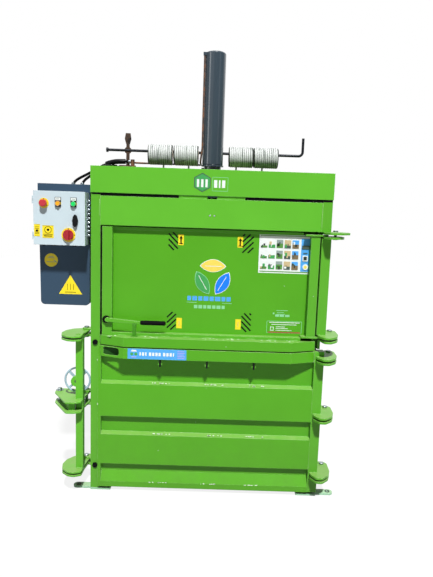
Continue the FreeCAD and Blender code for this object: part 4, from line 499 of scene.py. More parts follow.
# %% Dress the nodes
OWN_FINISH = {
    "spool_stand": scaled_steel("rusted_flat_bar", "#352E2C", "#574438", 0.6),
    "strap_rod": scaled_steel("blued_bar", "#1C1F25", "#3A2C26", 0.1),
    "hydraulic_pipes": scaled_steel("tarnished_pipe", "#5B4A42", "#8A5F45", 0.5),
    "main_switch": moulded_plastic("deep_red_abs", "#A3202C", 0.26),
    # the latch's rest: a darker green that paints in the shadow of the latch bar
    "latch_rest": powder_coat("painted_shadow_green_powder_coat", "#3F861C", 0.42, chips=0.97,
                              dusty=False, edge_wear_and_highlight="#6FB04A"),
    "anchor_plates": powder_coat("trodden_green_powder_coat", "#B4E2C4", 0.5, chips=0.8,
                                 edge_wear_and_highlight="#E4F2E8"),
}
fresh_green = powder_coat("fresh_green_powder_coat", "#60B42F")
for node in ("feed_shelf", "bale_door_ledge"):
    OWN_FINISH[node] = finishes["door_green"]
for node in ("head_beam_front", "head_beam_rear", "head_rails", "header_panel", "cylinder_beams",
             "lock_tube", "lock_hooks", "lock_bracket"):
    OWN_FINISH[node] = fresh_green
slot_of = {part["node"]: part["material_slot"] for part in frame["record"]["subparts"]}
body_of = {node: body for body, members in frame["record"]["behaviour"]["bodies"].items()
           for node in members}
for node, made in frame["nodes"].items():
    made.data.materials.clear()
    made.data.materials.append(OWN_FINISH.get(node, finishes[slot_of[node]]))
print("dressed", len(slot_of), "nodes")

# %% [markdown]
# ## Hands that make small pieces
# Every added piece is named, finished, and set to ride on the CAD body that carries it. Most are
# skins: rings of points joined by strips of faces. Strap, beads and labels are such skins along a
# line. Anything round, such as a ferrule, a washer or a core, is a profile turned round its axis,
# as on a lathe, which also gives it its chamfers.

# %% Piece helpers
def piece(name, mesh, finish, body, slot=None, smooth=False):
    """Make a bmesh into an object that rides on a body. A finish may be given by its name in the
    record. The slot argument is not used."""
    if isinstance(finish, str):
        finish, slot = finishes[finish], finish
    bmesh.ops.recalc_face_normals(mesh, faces=mesh.faces)
    data = bpy.data.meshes.new(name)
    mesh.to_mesh(data)
    mesh.free()
    if smooth:
        data.shade_smooth()
    made = bpy.data.objects.new(name, data)
    bpy.context.scene.collection.objects.link(made)
    for one in finish if isinstance(finish, list) else [finish]:
        data.materials.append(one)
    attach(made, body)
    return made


def loft(mesh, rings):
    """Join rings of vertices by strips of faces, and close both ends."""
    count = len(rings[0])
    for near, far in zip(rings, rings[1:]):
        for i in range(count):
            mesh.faces.new((near[i], near[(i + 1) % count], far[(i + 1) % count], far[i]))
    mesh.faces.new(rings[0])
    mesh.faces.new(list(reversed(rings[-1])))


CRISP_FROM = math.radians(32)    # edges of a turned piece that bend more than this stay sharp


def turned(name, profile, base, axis, finish, body, slot=None, sides=32, smooth=True):
    """Turn (radius, along) pairs in mm round an axis that starts at base, in metres."""
    mesh = bmesh.new()
    turn = Vector((0, 0, 1)).rotation_difference(Vector(axis)).to_matrix()
    rings = []
    for radius, along in profile:
        if radius < 1e-6:
            rings.append([mesh.verts.new(base + turn @ Vector((0, 0, along * MM)))])
            continue
        rings.append([mesh.verts.new(base + turn @ Vector((
            radius * MM * math.cos(2 * math.pi * i / sides),
            radius * MM * math.sin(2 * math.pi * i / sides), along * MM))) for i in range(sides)])
    for near, far in zip(rings, rings[1:]):
        for i in range(sides):
            corners = (near[i % len(near)], near[(i + 1) % len(near)], far[(i + 1) % len(far)],
                       far[i % len(far)])
            kept = list(dict.fromkeys(corners))
            if len(kept) > 2:
                mesh.faces.new(kept)
    made = piece(name, mesh, finish, body, slot)
    if smooth:
        made.data.shade_smooth()
        made.data.set_sharp_from_angle(angle=CRISP_FROM)
    return made


print("helpers: piece, loft, turned")

# %% [markdown]
# ## Rolls of strap
# Each roll is polyester strap wound side by side on a core, like cotton on a reel, and its outer
# layer shows eleven ribs. It could be a ridged cylinder, but a real winding climbs by one strap
# width a turn, and the light shows it. So one crowned strip is drawn along a helix. Through its
# gaps the layers below show on a cardboard tube. They are painted dark: partly the dust and oil
# of the shop, partly painted shade in the gaps between the turns.

# %% Strap rolls
ROLL_TURNS = 11
TURN_STEPS = 40
STRAP_WIDTH = 10.9      # mm
STRAP_PITCH = 13.3      # mm
STRAP_DEPTH = 3.4       # mm: the strap and the slack under its crown
STRAP_SUNK = 0.6        # mm that its crown stays inside the roll's outline
HALF_STRAP = STRAP_WIDTH / 2
CORE_BORE = 29.6        # mm, the radius inside the cardboard tube
CORE_OUTSIDE = CORE_BORE + 4
# across the strap: edge, shoulder, crown, shoulder, edge; the last face closes its underside
STRAP_PROFILE = (
    (-HALF_STRAP, -STRAP_DEPTH), (-HALF_STRAP, -1.6), (-HALF_STRAP * 0.72, -0.4), (0, 0),
    (HALF_STRAP * 0.72, -0.4), (HALF_STRAP, -1.6), (HALF_STRAP, -STRAP_DEPTH))
# inner turns painted dark: partly shop dust and oil, partly painted shade in the gaps
soiled_and_shaded_turns = corded_polyester("soiled_and_painted_shade_polyester", "#2C352D")
cardboard = moulded_plastic("core_cardboard", "#9C8A6C", 0.85, grain=2.0, depth=0.3)


def strap_roll(number):
    """Wind one roll over its CAD core."""
    node = f"strap_roll_{number}"
    low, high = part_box(node)
    middle = (low + high) / 2 / MM
    outer = (high.z - low.z) / 2 / MM
    mesh = bmesh.new()
    sections = []
    for step in range(TURN_STEPS * ROLL_TURNS + 1):
        angle = 2 * math.pi * step / TURN_STEPS
        x = middle.x + STRAP_PITCH * (step / TURN_STEPS - ROLL_TURNS / 2)
        wobble = 0.5 * math.sin(step * 0.37 + number) * math.sin(step * 0.11)
        section = []
        for across, up_by in STRAP_PROFILE:
            radius = outer + up_by + wobble * 0.3 - STRAP_SUNK
            section.append(mesh.verts.new(Vector((
                x + across + wobble * 0.4, middle.y + radius * math.cos(angle),
                middle.z + radius * math.sin(angle))) * MM))
        sections.append(section)
    loft(mesh, sections)
    roll = piece(f"strap_winding_{number}", mesh, "strap_white", body_of[node], smooth=True)
    roll.data.set_sharp_from_angle(angle=math.radians(50))
    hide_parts(node)
    core, wide = outer - STRAP_DEPTH - 0.5, (high.x - low.x) / MM
    start = Vector((low.x, middle.y * MM, middle.z * MM))
    turned(f"strap_layers_{number}",
           [(CORE_OUTSIDE, 1.5), (core - 2, 1.5), (core, 4), (core, wide - 4),
            (core - 2, wide - 1.5), (CORE_OUTSIDE, wide - 1.5), (CORE_OUTSIDE, 1.5)],
           start, (1, 0, 0), soiled_and_shaded_turns, body_of[node], "strap_white", sides=48)
    turned(f"strap_core_{number}",
           [(CORE_BORE, 0), (CORE_OUTSIDE, 0), (CORE_OUTSIDE, wide), (CORE_BORE, wide),
            (CORE_BORE, 0)], start, (1, 0, 0), cardboard, body_of[node], "strap_white",
           sides=40)


for number in range(1, 5):
    strap_roll(number)
print("wound 4 rolls of", ROLL_TURNS, "turns")

# %% [markdown]
# ## Strap tails
# From each roll a free end of strap hangs behind the head, ready to be threaded. A short strap
# under its own weight hangs nearly straight, with the curl that the roll left in it.

# %% Strap tails
TAIL_THICK = 1.1        # mm
TAIL_CURL = 2.2         # mm
TAIL_STEPS = 24
TAIL_MIDDLES = (-332, -166, 148, 319)
tails_low, tails_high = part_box("strap_tails")
top, bottom = tails_high.z / MM, tails_low.z / MM
for index, tail_x in enumerate(TAIL_MIDDLES, start=1):
    mesh = bmesh.new()
    rows = []
    for step in range(TAIL_STEPS + 1):
        share = step / TAIL_STEPS
        z = top + (bottom - top) * share
        curl = TAIL_CURL * math.sin(math.pi * share) * (0.6 if index % 2 else 1.0)
        y = tails_low.y / MM + 0.1 + curl
        rows.append([mesh.verts.new(Vector((tail_x + side * HALF_STRAP, y + deep, z)) * MM)
                     for side, deep in ((-1, 0), (1, 0), (1, TAIL_THICK), (-1, TAIL_THICK))])
    loft(mesh, rows)
    tail = piece(f"strap_tail_{index}", mesh, "strap_white", "frame")
    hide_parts("strap_tails")
print("tails hang", round(tails_high.z - tails_low.z, 3), "m")

# %% [markdown]
# ## Hydraulic hoses
# Two black rubber hoses leave the lid of the power unit, lean over behind the post and go into the
# manifold on the head. A hose has one thickness and no sharp bend, so each is one smooth curve
# with a round bevel, swaged at both ends into a plated ferrule with a hexagon. Where it rubs on
# the head it wears a thick nylon guard, which is the same curve with a wider bevel.

# %% Hoses
HOSE_RADIUS = 8 * MM
GUARD_RADIUS = 16 * MM
GUARD_SPAN = (0.58, 0.93)   # shares of the hose that the guard covers
FERRULE = [(0, 0), (11, 0), (11.8, 0.8), (11.8, 10), (10.4, 11), (11.2, 12), (10.4, 13),
           (11.2, 14), (10.2, 15.5), (0, 15.5)]
lid_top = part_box("power_lid")[1].z / MM
HOSE_ROUTES = {
    "return_hose": ((-838, -190, lid_top), (-838, -190, lid_top + 24), (-745, -140, 1908),
                    (-692, -40, 1960), (-640, 15, 1990), (-580, 45, 1996), (-530, 45, 1996)),
    "pressure_hose": ((-784, -190, lid_top), (-784, -190, lid_top + 24), (-722, -165, 1900),
                      (-695, -120, 1946), (-655, -20, 1958), (-630, 45, 1958),
                      (-600, 45, 1958)),
}


def hose(name, route):
    """A smooth rubber hose along its route. Returns its measured length."""
    data = bpy.data.curves.new(name + "_rubber", "CURVE")
    data.dimensions = "3D"
    data.resolution_u = 16
    line = data.splines.new("NURBS")
    line.points.add(len(route) - 1)
    for point, at in zip(line.points, route):
        point.co = [v * MM for v in at] + [1.0]
    line.order_u = 3
    line.use_endpoint_u = True
    made = bpy.data.objects.new(name + "_rubber", data)
    bpy.context.scene.collection.objects.link(made)
    bpy.context.view_layer.update()
    plain = bpy.data.meshes.new_from_object(
        made.evaluated_get(bpy.context.evaluated_depsgraph_get()))
    at = [v.co.copy() for v in plain.vertices]
    length = sum((b - a).length for a, b in zip(at, at[1:]))
    data.bevel_depth = HOSE_RADIUS
    data.bevel_resolution = 6
    data.use_fill_caps = True
    data.materials.append(finishes["black_rubber"])
    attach(made, "frame")
    guard = bpy.data.objects.new(name + "_guard", data.copy())
    guard.data.bevel_depth = GUARD_RADIUS
    guard.data.bevel_factor_start, guard.data.bevel_factor_end = GUARD_SPAN
    guard.data.materials.clear()
    guard.data.materials.append(finishes["black_plastic"])
    bpy.context.scene.collection.objects.link(guard)
    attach(guard, "frame")
    ends = ((at[0], at[1] - at[0]), (at[-1], at[-2] - at[-1]))
    for index, (base, way) in enumerate(ends, start=1):
        turned(f"{name}_ferrule_{index}", FERRULE, base, way.normalized(),
                               "zinc_steel", "frame", sides=28)
    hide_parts(name)
    return length


for name, route in HOSE_ROUTES.items():
    print(name, "is", round(hose(name, route), 3), "m long")

# %% [markdown]
# ## Outlines and film
# A label is an outline cut from film, and so are a bar and the black strips that paint the shade
# in the joints and gaps. Each is drawn flat, in mm across and up, and pushed back from its front
# to its back. The corners are rounded by arcs, because film is die-cut with a radius so that it
# does not peel.

# %% Outlines
def rounded(points, radius, steps=4):
    """A flat outline with its corners rounded by arcs."""
    made = []
    for before, corner, after in zip(points[-1:] + points[:-1], points, points[1:] + points[:1]):
        corner = Vector(corner)
        a = (Vector(before) - corner).normalized()
        b = (Vector(after) - corner).normalized()
        half = a.angle(b) / 2
        reach = min(radius / math.tan(half), (Vector(before) - corner).length / 2.01,
                    (Vector(after) - corner).length / 2.01)
        centre = corner + (a + b).normalized() * (reach / math.cos(half))
        start, end = corner + a * reach - centre, corner + b * reach - centre
        for step in range(steps + 1):
            arm = start.slerp(end, step / steps) if start.length > 1e-9 else start
            made.append(tuple(centre + arm))
    return made


def rectangle(x0, x1, z0, z1, radius=0.0):
    """The corners of a rectangle, in mm, rounded if asked."""
    corners = [(x0, z0), (x1, z0), (x1, z1), (x0, z1)]
    return rounded(corners, radius) if radius else corners


def row(z0, z1, spans, radius=0.0):
    """Rectangles side by side at one height. spans: (left edge, width), ..."""
    return [rectangle(x, x + wide, z0, z1, radius) for x, wide in spans]


def disc(x, z, radius, sides=32):
    """A round outline, in mm."""
    return [(x + radius * math.cos(2 * math.pi * i / sides),
             z + radius * math.sin(2 * math.pi * i / sides)) for i in range(sides)]


def face_of(node, side):
    """The y of a node's front (side 0) or back (side 1), in mm."""
    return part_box(node)[side].y / MM


print("front of the header:", round(face_of("header_panel", 0), 1), "mm")

# %% Film and slabs
FILM = 0.25      # mm that each ink stands in front of the one before


def extrude(mesh, outline, front, back, finish_index=0):
    """Push a flat outline from y = front to y = back, in mm."""
    near = [mesh.verts.new((x * MM, front * MM, z * MM)) for x, z in outline]
    far = [mesh.verts.new((x * MM, back * MM, z * MM)) for x, z in outline]
    sides = [(near[i], near[i - 1], far[i - 1], far[i]) for i in range(len(near))]
    for corners in [near, list(reversed(far))] + sides:
        mesh.faces.new(corners).material_index = finish_index


def slab(name, outlines, front, back, finish, body, slot=None):
    """Flat outlines pushed from y = front to y = back, as one piece."""
    mesh = bmesh.new()
    for outline in outlines:
        extrude(mesh, outline, front, back)
    piece(name, mesh, finish, body, slot)


def label(name, layers, face, body):
    """Printed film on an upright face at y = face mm. layers: (tone, outline, outline, ...), from
    the film itself to the last ink."""
    mesh = bmesh.new()
    for depth, (_, *outlines) in enumerate(layers):
        for outline in outlines:
            extrude(mesh, outline, face - FILM * (depth + 1), face, depth)
    piece(name, mesh, [vinyl[tone] for tone, *_ in layers], body)


print("one ink stands", FILM, "mm proud")

# %% [markdown]
# ## The control box
# The box is a 300 mm enclosure with a stop button, two lamps with push caps, an isolator and a
# door handle. Each push cap sits in a black legend plate with a white field above it. The plates
# also close off the rings under the caps, so each is a skin of four rings with a round eye.

# %% Control box fittings
door_face = face_of("control_door", 0)
BUTTONS = {"orange": (-857, 1714), "green": (-770, 1714)}
PLATE_FRONT_AT, PLATE_STEP = 4.6, 3.2    # mm in front of the door: its face, and inside its eye
for tone, (x, z) in BUTTONS.items():
    mesh = bmesh.new()
    rim = rectangle(x - 19, x + 19, z - 20, z + 37, 3)
    eye = disc(x, z, 15.2, len(rim))
    rim, eye = (sorted(outline, key=lambda p: math.atan2(p[1] - z, p[0] - x))
                for outline in (rim, eye))
    fronts = [[mesh.verts.new((px * MM, (door_face - deep) * MM, pz * MM)) for px, pz in ring]
              for ring, deep in ((rim, PLATE_FRONT_AT), (eye, PLATE_FRONT_AT), (eye, PLATE_STEP),
                                 (rim, 0))]
    for inner, outer in zip(fronts, fronts[1:] + fronts[:1]):
        for i in range(len(inner)):
            mesh.faces.new((inner[i], inner[i - 1], outer[i - 1], outer[i]))
    piece(f"{tone}_legend_plate", mesh, "black_plastic", "control_lid")
    label(f"{tone}_legend_field", [("white", rectangle(x - 15, x + 15, z + 18, z + 33, 1)),
                                   ("grey", rectangle(x - 9, x + 9, z + 24, z + 26.5))],
          door_face - PLATE_FRONT_AT, "control_lid")
    turned(f"{tone}_cap_ring", [(12.2, 0), (13.4, 0.4), (13.4, 1.4), (12.2, 1.4), (12.2, 0)],
           Vector((x * MM, face_of(f"{tone}_button", 0) * MM - 0.0009, z * MM)), (0, 1, 0),
           "zinc_steel", f"{tone}_push", sides=36)
print("legend plates at", list(BUTTONS))

# %% [markdown]
# ## Marks and tags on the control box
# The stop button's yellow ring carries turn marks, and the isolator has a yellow field with two
# small end marks. The tags under them are printed film: plain fields with simple shapes. A line
# on film is a thin outline of its own, so one helper draws a stroke and another a closed line.

# %% Control box labels
STOP = (-936, 1714)
SWITCH = (-799, 1541)
ring_face = face_of("control_collars", 0)


def stroke(x0, z0, x1, z1, width):
    """A straight stroke of that width as a four-sided outline."""
    along = Vector((x1 - x0, z1 - z0)).normalized()
    side = Vector((-along.y, along.x)) * width / 2
    return [(x0 + side.x, z0 + side.y), (x0 - side.x, z0 - side.y), (x1 - side.x, z1 - side.y),
            (x1 + side.x, z1 + side.y)]


def closed_line(outline, width):
    """Strokes all round an outline. Sides too short to see are passed over."""
    return [stroke(*a, *b, width) for a, b in zip(outline, outline[1:] + outline[:1])
            if (Vector(a) - Vector(b)).length > 0.5]


for index in range(3):
    angle = math.radians(90 + 120 * index)
    x, z = STOP[0] + 24.5 * math.cos(angle), STOP[1] + 24.5 * math.sin(angle)
    arrow = [(x + 3 * math.cos(angle + turn), z + 3 * math.sin(angle + turn))
             for turn in (1.57, 3.67, 5.76)]
    label(f"stop_turn_mark_{index + 1}", [("black", arrow)], ring_face, "control_lid")
x, z = SWITCH
label("isolator_marks", [("black", rectangle(x - 3, x + 3, z + 31.5, z + 36),
                          rectangle(x + 31.5, x + 36, z - 3, z + 3))], ring_face, "control_lid")


def framed_tag(name, x0, x1, z0, z1, inks):
    """A yellow tag with a thin black line along its top and bottom, and a simple sign in it."""
    lines = [rectangle(x0 + 2, x1 - 2, z1 - 3, z1 - 2), rectangle(x0 + 2, x1 - 2, z0 + 2, z0 + 3)]
    label(name, [("yellow", rectangle(x0, x1, z0, z1, 2)), ("black", *lines, *inks)], door_face,
          "control_lid")


framed_tag("small_yellow_tag", -993, -958, 1527, 1597,
           [rectangle(-987, -964, z, z + 2.2) for z in (1542, 1549, 1571, 1580)] +
           [rectangle(-983, -968, 1554, 1566)])
framed_tag("large_yellow_tag", -947, -881, 1519, 1592,
           closed_line(disc(-914, 1566, 19, 16), 3) +
           [disc(-914, 1566, 7, 14), rectangle(-940, -888, 1539, 1542),
            rectangle(-938, -890, 1529, 1534)])
print("tags on the control door")

# %% [markdown]
# ## Glands under the control box
# Cables leave the box through its floor, each in a nylon gland whose hexagon sits on a washer. A
# bolt's head has the same form, so one helper makes both: a six-sided turned shape, chamfered as
# bar stock is.

# %% Hexagons and glands
def hexagon_head(name, base, axis, across, height, finish, body, washer=True):
    """A bolt head or nut of that width across its flats, chamfered, on a round washer."""
    corner = across / math.sqrt(3)
    turned(name, [(0, 0), (corner, 0), (corner, height * 0.86), (corner * 0.87, height),
                  (corner * 0.35, height), (0, height * 0.93)],
           base + Vector(axis) * (1.6 * MM if washer else 0), axis, finish, body, sides=6,
           smooth=False)
    if washer:
        turned(name + "_washer", [(0, 0), (across * 0.98, 0), (across, 0.3), (across, 1.4),
                                  (across * 0.98, 1.7), (0, 1.7)], base, axis, finish, body,
               sides=28)


box_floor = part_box("control_box")[0].z
for index, x in enumerate((-960, -900, -840, -780), start=1):
    hexagon_head(f"cable_gland_{index}", Vector((x * MM, -0.39, box_floor)), (0, 0, -1), 22, 9,
                 "black_plastic", "frame")
print("box floor at", round(box_floor, 3), "m")

# %% [markdown]
# ## Inside the control box
# With its door open the box shows what switches the pump: a zinc mounting plate, three contactors
# and three fuse holders on a rail, a row of terminals on another, and two slotted wire ducts.
# Such devices are boxes of moulded plastic, so each is a block with rounded corners and its face.

# %% Switchgear
BACK_WALL = -341.5      # mm
PLATE_FRONT = BACK_WALL - 6
RAIL_FRONT = PLATE_FRONT - 7
FUSES = (-806, -788, -770)


def device(name, outlines, back, deep, finish, slot=None):
    """Blocks that stand on the plate or a rail: the y of their backs and their depth, in mm."""
    slab(name, outlines, back - deep, back, finish, "frame", slot)


device("mounting_plate", [rectangle(-985, -731, 1507, 1757, 4)], BACK_WALL, 6, "zinc_steel")
for index, z in enumerate((1660, 1563), start=1):
    device(f"device_rail_{index}", [rectangle(-975, -741, z, z + 35)], PLATE_FRONT, 7,
           "zinc_steel")
for index, z in enumerate((1725, 1615), start=1):
    device(f"wire_duct_{index}", [rectangle(x, x + 7, z, z + 22) for x in range(-974, -748, 12)],
           PLATE_FRONT, 40, "enclosure_grey")
    device(f"wire_duct_cover_{index}", [rectangle(-975, -741, z - 1, z + 23, 2)],
           PLATE_FRONT - 40, 4, "enclosure_grey")
for index, x in enumerate((-970, -918, -866), start=1):
    device(f"contactor_{index}", [rectangle(x, x + 45, 1643, 1712, 3)], RAIL_FRONT, 42,
           "black_plastic")
    device(f"contactor_face_{index}", [rectangle(x + 7, x + 38, 1660, 1695, 2)],
           RAIL_FRONT - 42, 8, "enclosure_grey")
device("fuse_holders", [rectangle(x, x + 17, 1640, 1714, 2) for x in FUSES], RAIL_FRONT, 44,
       "enclosure_grey")
device("fuse_levers", [rectangle(x + 4, x + 13, 1662, 1692, 2) for x in FUSES],
       RAIL_FRONT - 44, 5, "black_plastic")
device("terminal_row", [rectangle(x, x + 9, 1558, 1603, 1) for x in range(-968, -760, 11)],
       RAIL_FRONT, 30, vinyl["sand"], "black_plastic")
print("switchgear on 2 rails")

# %% [markdown]
# ## Stickers on the power unit's cover
# A round yellow sticker sits under the control box, and a yellow triangle with rounded corners
# and plain bars below it. Both are vinyl on powder coat, so they lie flat and shine a little more.

# %% Cover stickers
cover_face = face_of("power_cover", 0)
label("round_yellow_sticker", [
    ("yellow", disc(-930, 1386, 39)),
    ("grey", *[rectangle(-930 - w, -930 + w, z, z + 3) for w, z in ((14, 1406), (20, 1398),
                                                                    (27, 1374))],
     stroke(-916, 1388, -896, 1372, 4))], cover_face, "frame")
TRIANGLE = [(-893, 1184), (-742, 1184), (-818, 1309)]
label("triangle_sticker", [
    ("yellow", rounded(TRIANGLE, 5)),
    ("black", rectangle(-850, -786, 1198, 1201),
     *[rectangle(x - 2.2, x + 2.2, 1212, 1250, 2) for x in (-836, -818, -800)])],
    cover_face, "frame")
print("stickers on the cover")

# %% [markdown]
# ## Printed film on the feed door
# The door's panel carries hatched corner marks, four small yellow tags, an emblem, a sheet of
# small tiles and an outlined box. The marks are stripes at 45 degrees, clipped to a block, so the
# ends of each stripe are worked out from where it crosses the block's sides.

# %% Hatched corners and tags
HATCH_PITCH = 31.7      # mm, measured along the block's side
HATCH_WIDTH = 8.8       # mm
HATCH_SHORTEST = 9      # mm: a shorter stripe is left off
panel_face = face_of("feed_door_panel", 0)


def hatching(name, x0, x1, z0, z1, leaning):
    """Black stripes at 45 degrees, clipped to a block. leaning is 1 for / and -1 for \\."""
    wide, tall = x1 - x0, z1 - z0
    stripes = []
    for index in range(1, int((wide + tall) / HATCH_PITCH) + 1):
        reach = index * HATCH_PITCH
        foot = (min(reach, wide), max(0, reach - wide))
        head = (max(0, reach - tall), min(reach, tall))
        if foot[0] - head[0] < HATCH_SHORTEST:
            continue
        ends = [(x0 + u if leaning < 0 else x1 - u, z0 + v) for u, v in (foot, head)]
        stripes.append(stroke(*ends[0], *ends[1], HATCH_WIDTH))
    label(name, [("black", *stripes)], panel_face, "feed_door")


hatching("hatch_upper_left", -244, -189, 1470, 1572, -1)
hatching("hatch_upper_right", 184, 247, 1467, 1575, 1)
hatching("hatch_lower_left", -244, -191, 1000, 1106, 1)
hatching("hatch_lower_right", 194, 250, 1000, 1112, -1)
TAGS = ((-172, 1531, True), (170, 1528, True), (-172, 1041, False), (175, 1044, False))
for index, (x, z, has_arrow) in enumerate(TAGS, start=1):
    inks = [rectangle(x - 1.8, x + 1.8, z - 16, z + 14)]
    if has_arrow:
        inks = [rectangle(x - 4, x + 4, z - 20, z + 8), [(x - 11, z + 7), (x + 11, z + 7),
                                                         (x, z + 24)],
                rectangle(x - 10, x + 10, z - 25, z - 20)]
    label(f"door_tag_{index}", [("yellow", rectangle(x - 17, x + 17, z - 32, z + 32, 2)),
                                ("black" if has_arrow else "sand", *inks)],
          panel_face, "feed_door")
print("panel face at", round(panel_face, 1), "mm")

# %% [markdown]
# ## The emblem
# Three leaves stand round a middle, in yellow, green and blue, over two rows of plain bars. A
# leaf is two half sine curves back to back, with a paler margin round it and a white rib. All
# three come from one set of numbers, turned by a third each time.

# %% Emblem and its bars
EMBLEM = Vector((17, 1318))
LEAF_TONES = ("straw", "blue", "leaf")
LEAF_AWAY = 66          # mm from the emblem's middle to a leaf's
LEAF_LONG = 144         # mm
OUTER_BELLY, INNER_BELLY = 38, 33    # mm
LEAF_STEPS = 12
leaf_layers = []
for index, tone in enumerate(LEAF_TONES):
    turn = math.radians(90 - 120 * index)
    out = Vector((math.cos(turn), math.sin(turn)))
    long_way = Vector((math.cos(turn - math.pi / 2), math.sin(turn - math.pi / 2)))
    middle = EMBLEM + out * LEAF_AWAY
    leaf = []
    for steps, belly in ((range(LEAF_STEPS + 1), OUTER_BELLY),
                         (range(LEAF_STEPS - 1, 0, -1), -INNER_BELLY)):
        for step in steps:
            share = step / LEAF_STEPS
            bulge = belly * math.sin(math.pi * share) ** 0.8
            leaf.append(tuple(middle + long_way * (share - 0.5) * LEAF_LONG + out * bulge))
    margin = [tuple(middle + (Vector(p) - middle) * 1.07) for p in leaf]
    rib = stroke(*(middle - long_way * 46), *(middle + long_way * 50), 3.2)
    leaf_layers += [("mint" if tone == "leaf" else "white", margin), (tone, leaf),
                    ("white", rib)]
label("leaf_emblem", leaf_layers, panel_face, "feed_door")
label("emblem_bars", [
    ("sky", *row(1178, 1206, ((-128, 24), (-99, 30), (-64, 26), (-33, 30), (2, 26), (33, 34),
                              (72, 24), (101, 26)), 2)),
    ("mint", *row(1132, 1154, ((-88, 22), (-62, 24), (-34, 20), (-10, 24), (18, 22), (44, 26),
                               (74, 20)), 2),
     rectangle(-130, -72, 1166, 1169), rectangle(76, 134, 1166, 1169))], panel_face, "feed_door")
print("emblem of", len(LEAF_TONES), "leaves")

# %% [markdown]
# ## The sheet of tiles
# A white sheet holds three rows of five small tiles, each with a sky, a ground and three blocks.
# Their tones and places come from the tile's number by plain remainders, so they look unlike each
# other and yet are the same on each run.

# %% Picture sheet
SHEET = (280, 572, 1355, 1580)
TILE_PITCH = (45.5, 62)     # mm across and up
TILE_SIZE = (37, 47)        # mm
SKY_TONES = ("white", "grey", "sky", "white", "sand")
GROUND_TONES = ("moss", "slate", "leaf", "earth", "moss")
SHAPE_TONES = ("soot", "white", "soot", "sand", "slate", "leaf", "soot")
grounds, shapes = {}, {}
for index in range(15):
    x, z = 290 + index % 5 * TILE_PITCH[0], 1378 + (2 - index // 5) * TILE_PITCH[1]
    right_side, horizon = x + TILE_SIZE[0], z + 12 + index * 7 % 17
    grounds.setdefault(SKY_TONES[index * 3 % 5], []).append(
        rectangle(x, right_side, horizon, z + TILE_SIZE[1]))
    grounds.setdefault(GROUND_TONES[index * 2 % 5], []).append(
        rectangle(x, right_side, z, horizon))
    for step in range(3):
        across, up_by = (index * 11 + step * 13) % 22, (index * 5 + step * 12) % 24
        wide, tall = 7 + (index * 3 + step * 5) % 9, 9 + (index * 7 + step * 4) % 13
        shapes.setdefault(SHAPE_TONES[(index + step * 2) % 7], []).append(
            rectangle(x + across, x + across + wide, z + up_by, z + up_by + tall, 2))
label("picture_sheet", [
    ("white", rectangle(*SHEET)),
    ("moss", rectangle(287, 572, 1361, 1367), rectangle(287, 572, 1570, 1575)),
    ("sky", rectangle(524, 572, 1369, 1560)),
    *[(tone, *outlines) for tone, outlines in grounds.items()],
    *[(tone, *outlines) for tone, outlines in shapes.items()],
    ("slate", rectangle(528, 572, 1500, 1520), rectangle(536, 560, 1474, 1478)),
    ("white", rectangle(534, 564, 1430, 1462), disc(553, 1396, 17, 20)),
    ("soot", rectangle(539, 559, 1435, 1457)),
    ("straw", disc(552, 1396, 9, 16)),
], panel_face, "feed_door")
print("sheet of 15 tiles")

# %% Outlined box and small marks
BOX = (337, 558, 993, 1079)
RULES = ((360, 538, 1062, 1066), (372, 520, 1050, 1053), (398, 452, 1036, 1039),
         (398, 470, 1026, 1029), (398, 492, 1015, 1018))
SMALL_SQUARE = ((366, 386, 1014, 1017), (366, 386, 1034, 1037), (366, 369, 1017, 1034),
                (383, 386, 1017, 1034))
label("outlined_box", [
    ("mint", *closed_line(rectangle(*BOX, 9), 2.4)),
    ("white", *[rectangle(*corners) for corners in RULES + SMALL_SQUARE]),
    ("rust", rectangle(352, 544, 1001, 1008))], panel_face, "feed_door")
MARKS = ((398, 66, 1134, 3), (402, 40, 1122, 3), (392, 22, 1098, 13), (418, 26, 1098, 13),
         (450, 26, 1098, 13), (400, 50, 1112, 3))       # left, width, foot, height
label("small_marks", [("mint", rectangle(373, 391, 1108, 1126, 5),
                       *[rectangle(x, x + wide, z, z + tall) for x, wide, z, tall in MARKS])],
      panel_face, "feed_door")
print("prints done")

# %% [markdown]
# ## Ledge label and head plate
# A light blue strip with a row of plain white bars lies on the ledge, and the head beam carries
# a hexagon and an outlined field with three bars each.

# %% Ledge label and head plate
ledge_face = face_of("bale_door_ledge", 0)
label("ledge_label", [
    ("sky", rectangle(-458, -120, 843, 903)),
    ("leaf", disc(-434, 872, 9), disc(-410, 872, 9)),
    ("white", *row(862, 884, ((-390, 10), (-376, 14), (-358, 10), (-336, 15), (-318, 15),
                              (-299, 15), (-281, 15), (-255, 15), (-236, 15), (-217, 15),
                              (-198, 8)), 2),
     rounded([(-442, 884), (-402, 884), (-408, 898), (-436, 898)], 3)),
    ("lilac", *[rectangle(-172, -172 + wide, z, z + 4) for wide, z in
                ((40, 892), (44, 882), (36, 872), (46, 862), (42, 852))],
     rectangle(-436, -408, 851, 857))], ledge_face, "bale_door")
head_face = face_of("head_beam_front", 0)
HEXAGON = Vector((-58, 1858))
six = [(HEXAGON.x + 54 * math.sin(math.radians(60 * i)),
        HEXAGON.y + 54 * math.cos(math.radians(60 * i))) for i in range(6)]
label("head_plate", [
    ("mint", *closed_line(rectangle(-8, 93, 1806, 1896, 8), 2.2)),
    ("slate", six),
    ("leaf", [tuple(HEXAGON + (Vector(corner) - HEXAGON) * 0.9) for corner in six]),
    ("white", *row(1830, 1878, ((-91, 17), (-67, 17), (-43, 17)), 3),
     *row(1829, 1875, ((6, 22), (33, 13), (51, 22)), 3))], head_face, "frame")
print("labels done")

# %% [markdown]
# ## Weld beads
# The frame is welded, then coated, so a bead is a ripple under the same green. The two beads on
# the header are painted paler, as a painted highlight on their ripples. Beads are short half-sunk
# ropes along the joints that a welder would reach. A bump map could draw the ripples, but not the
# swell that catches the light.

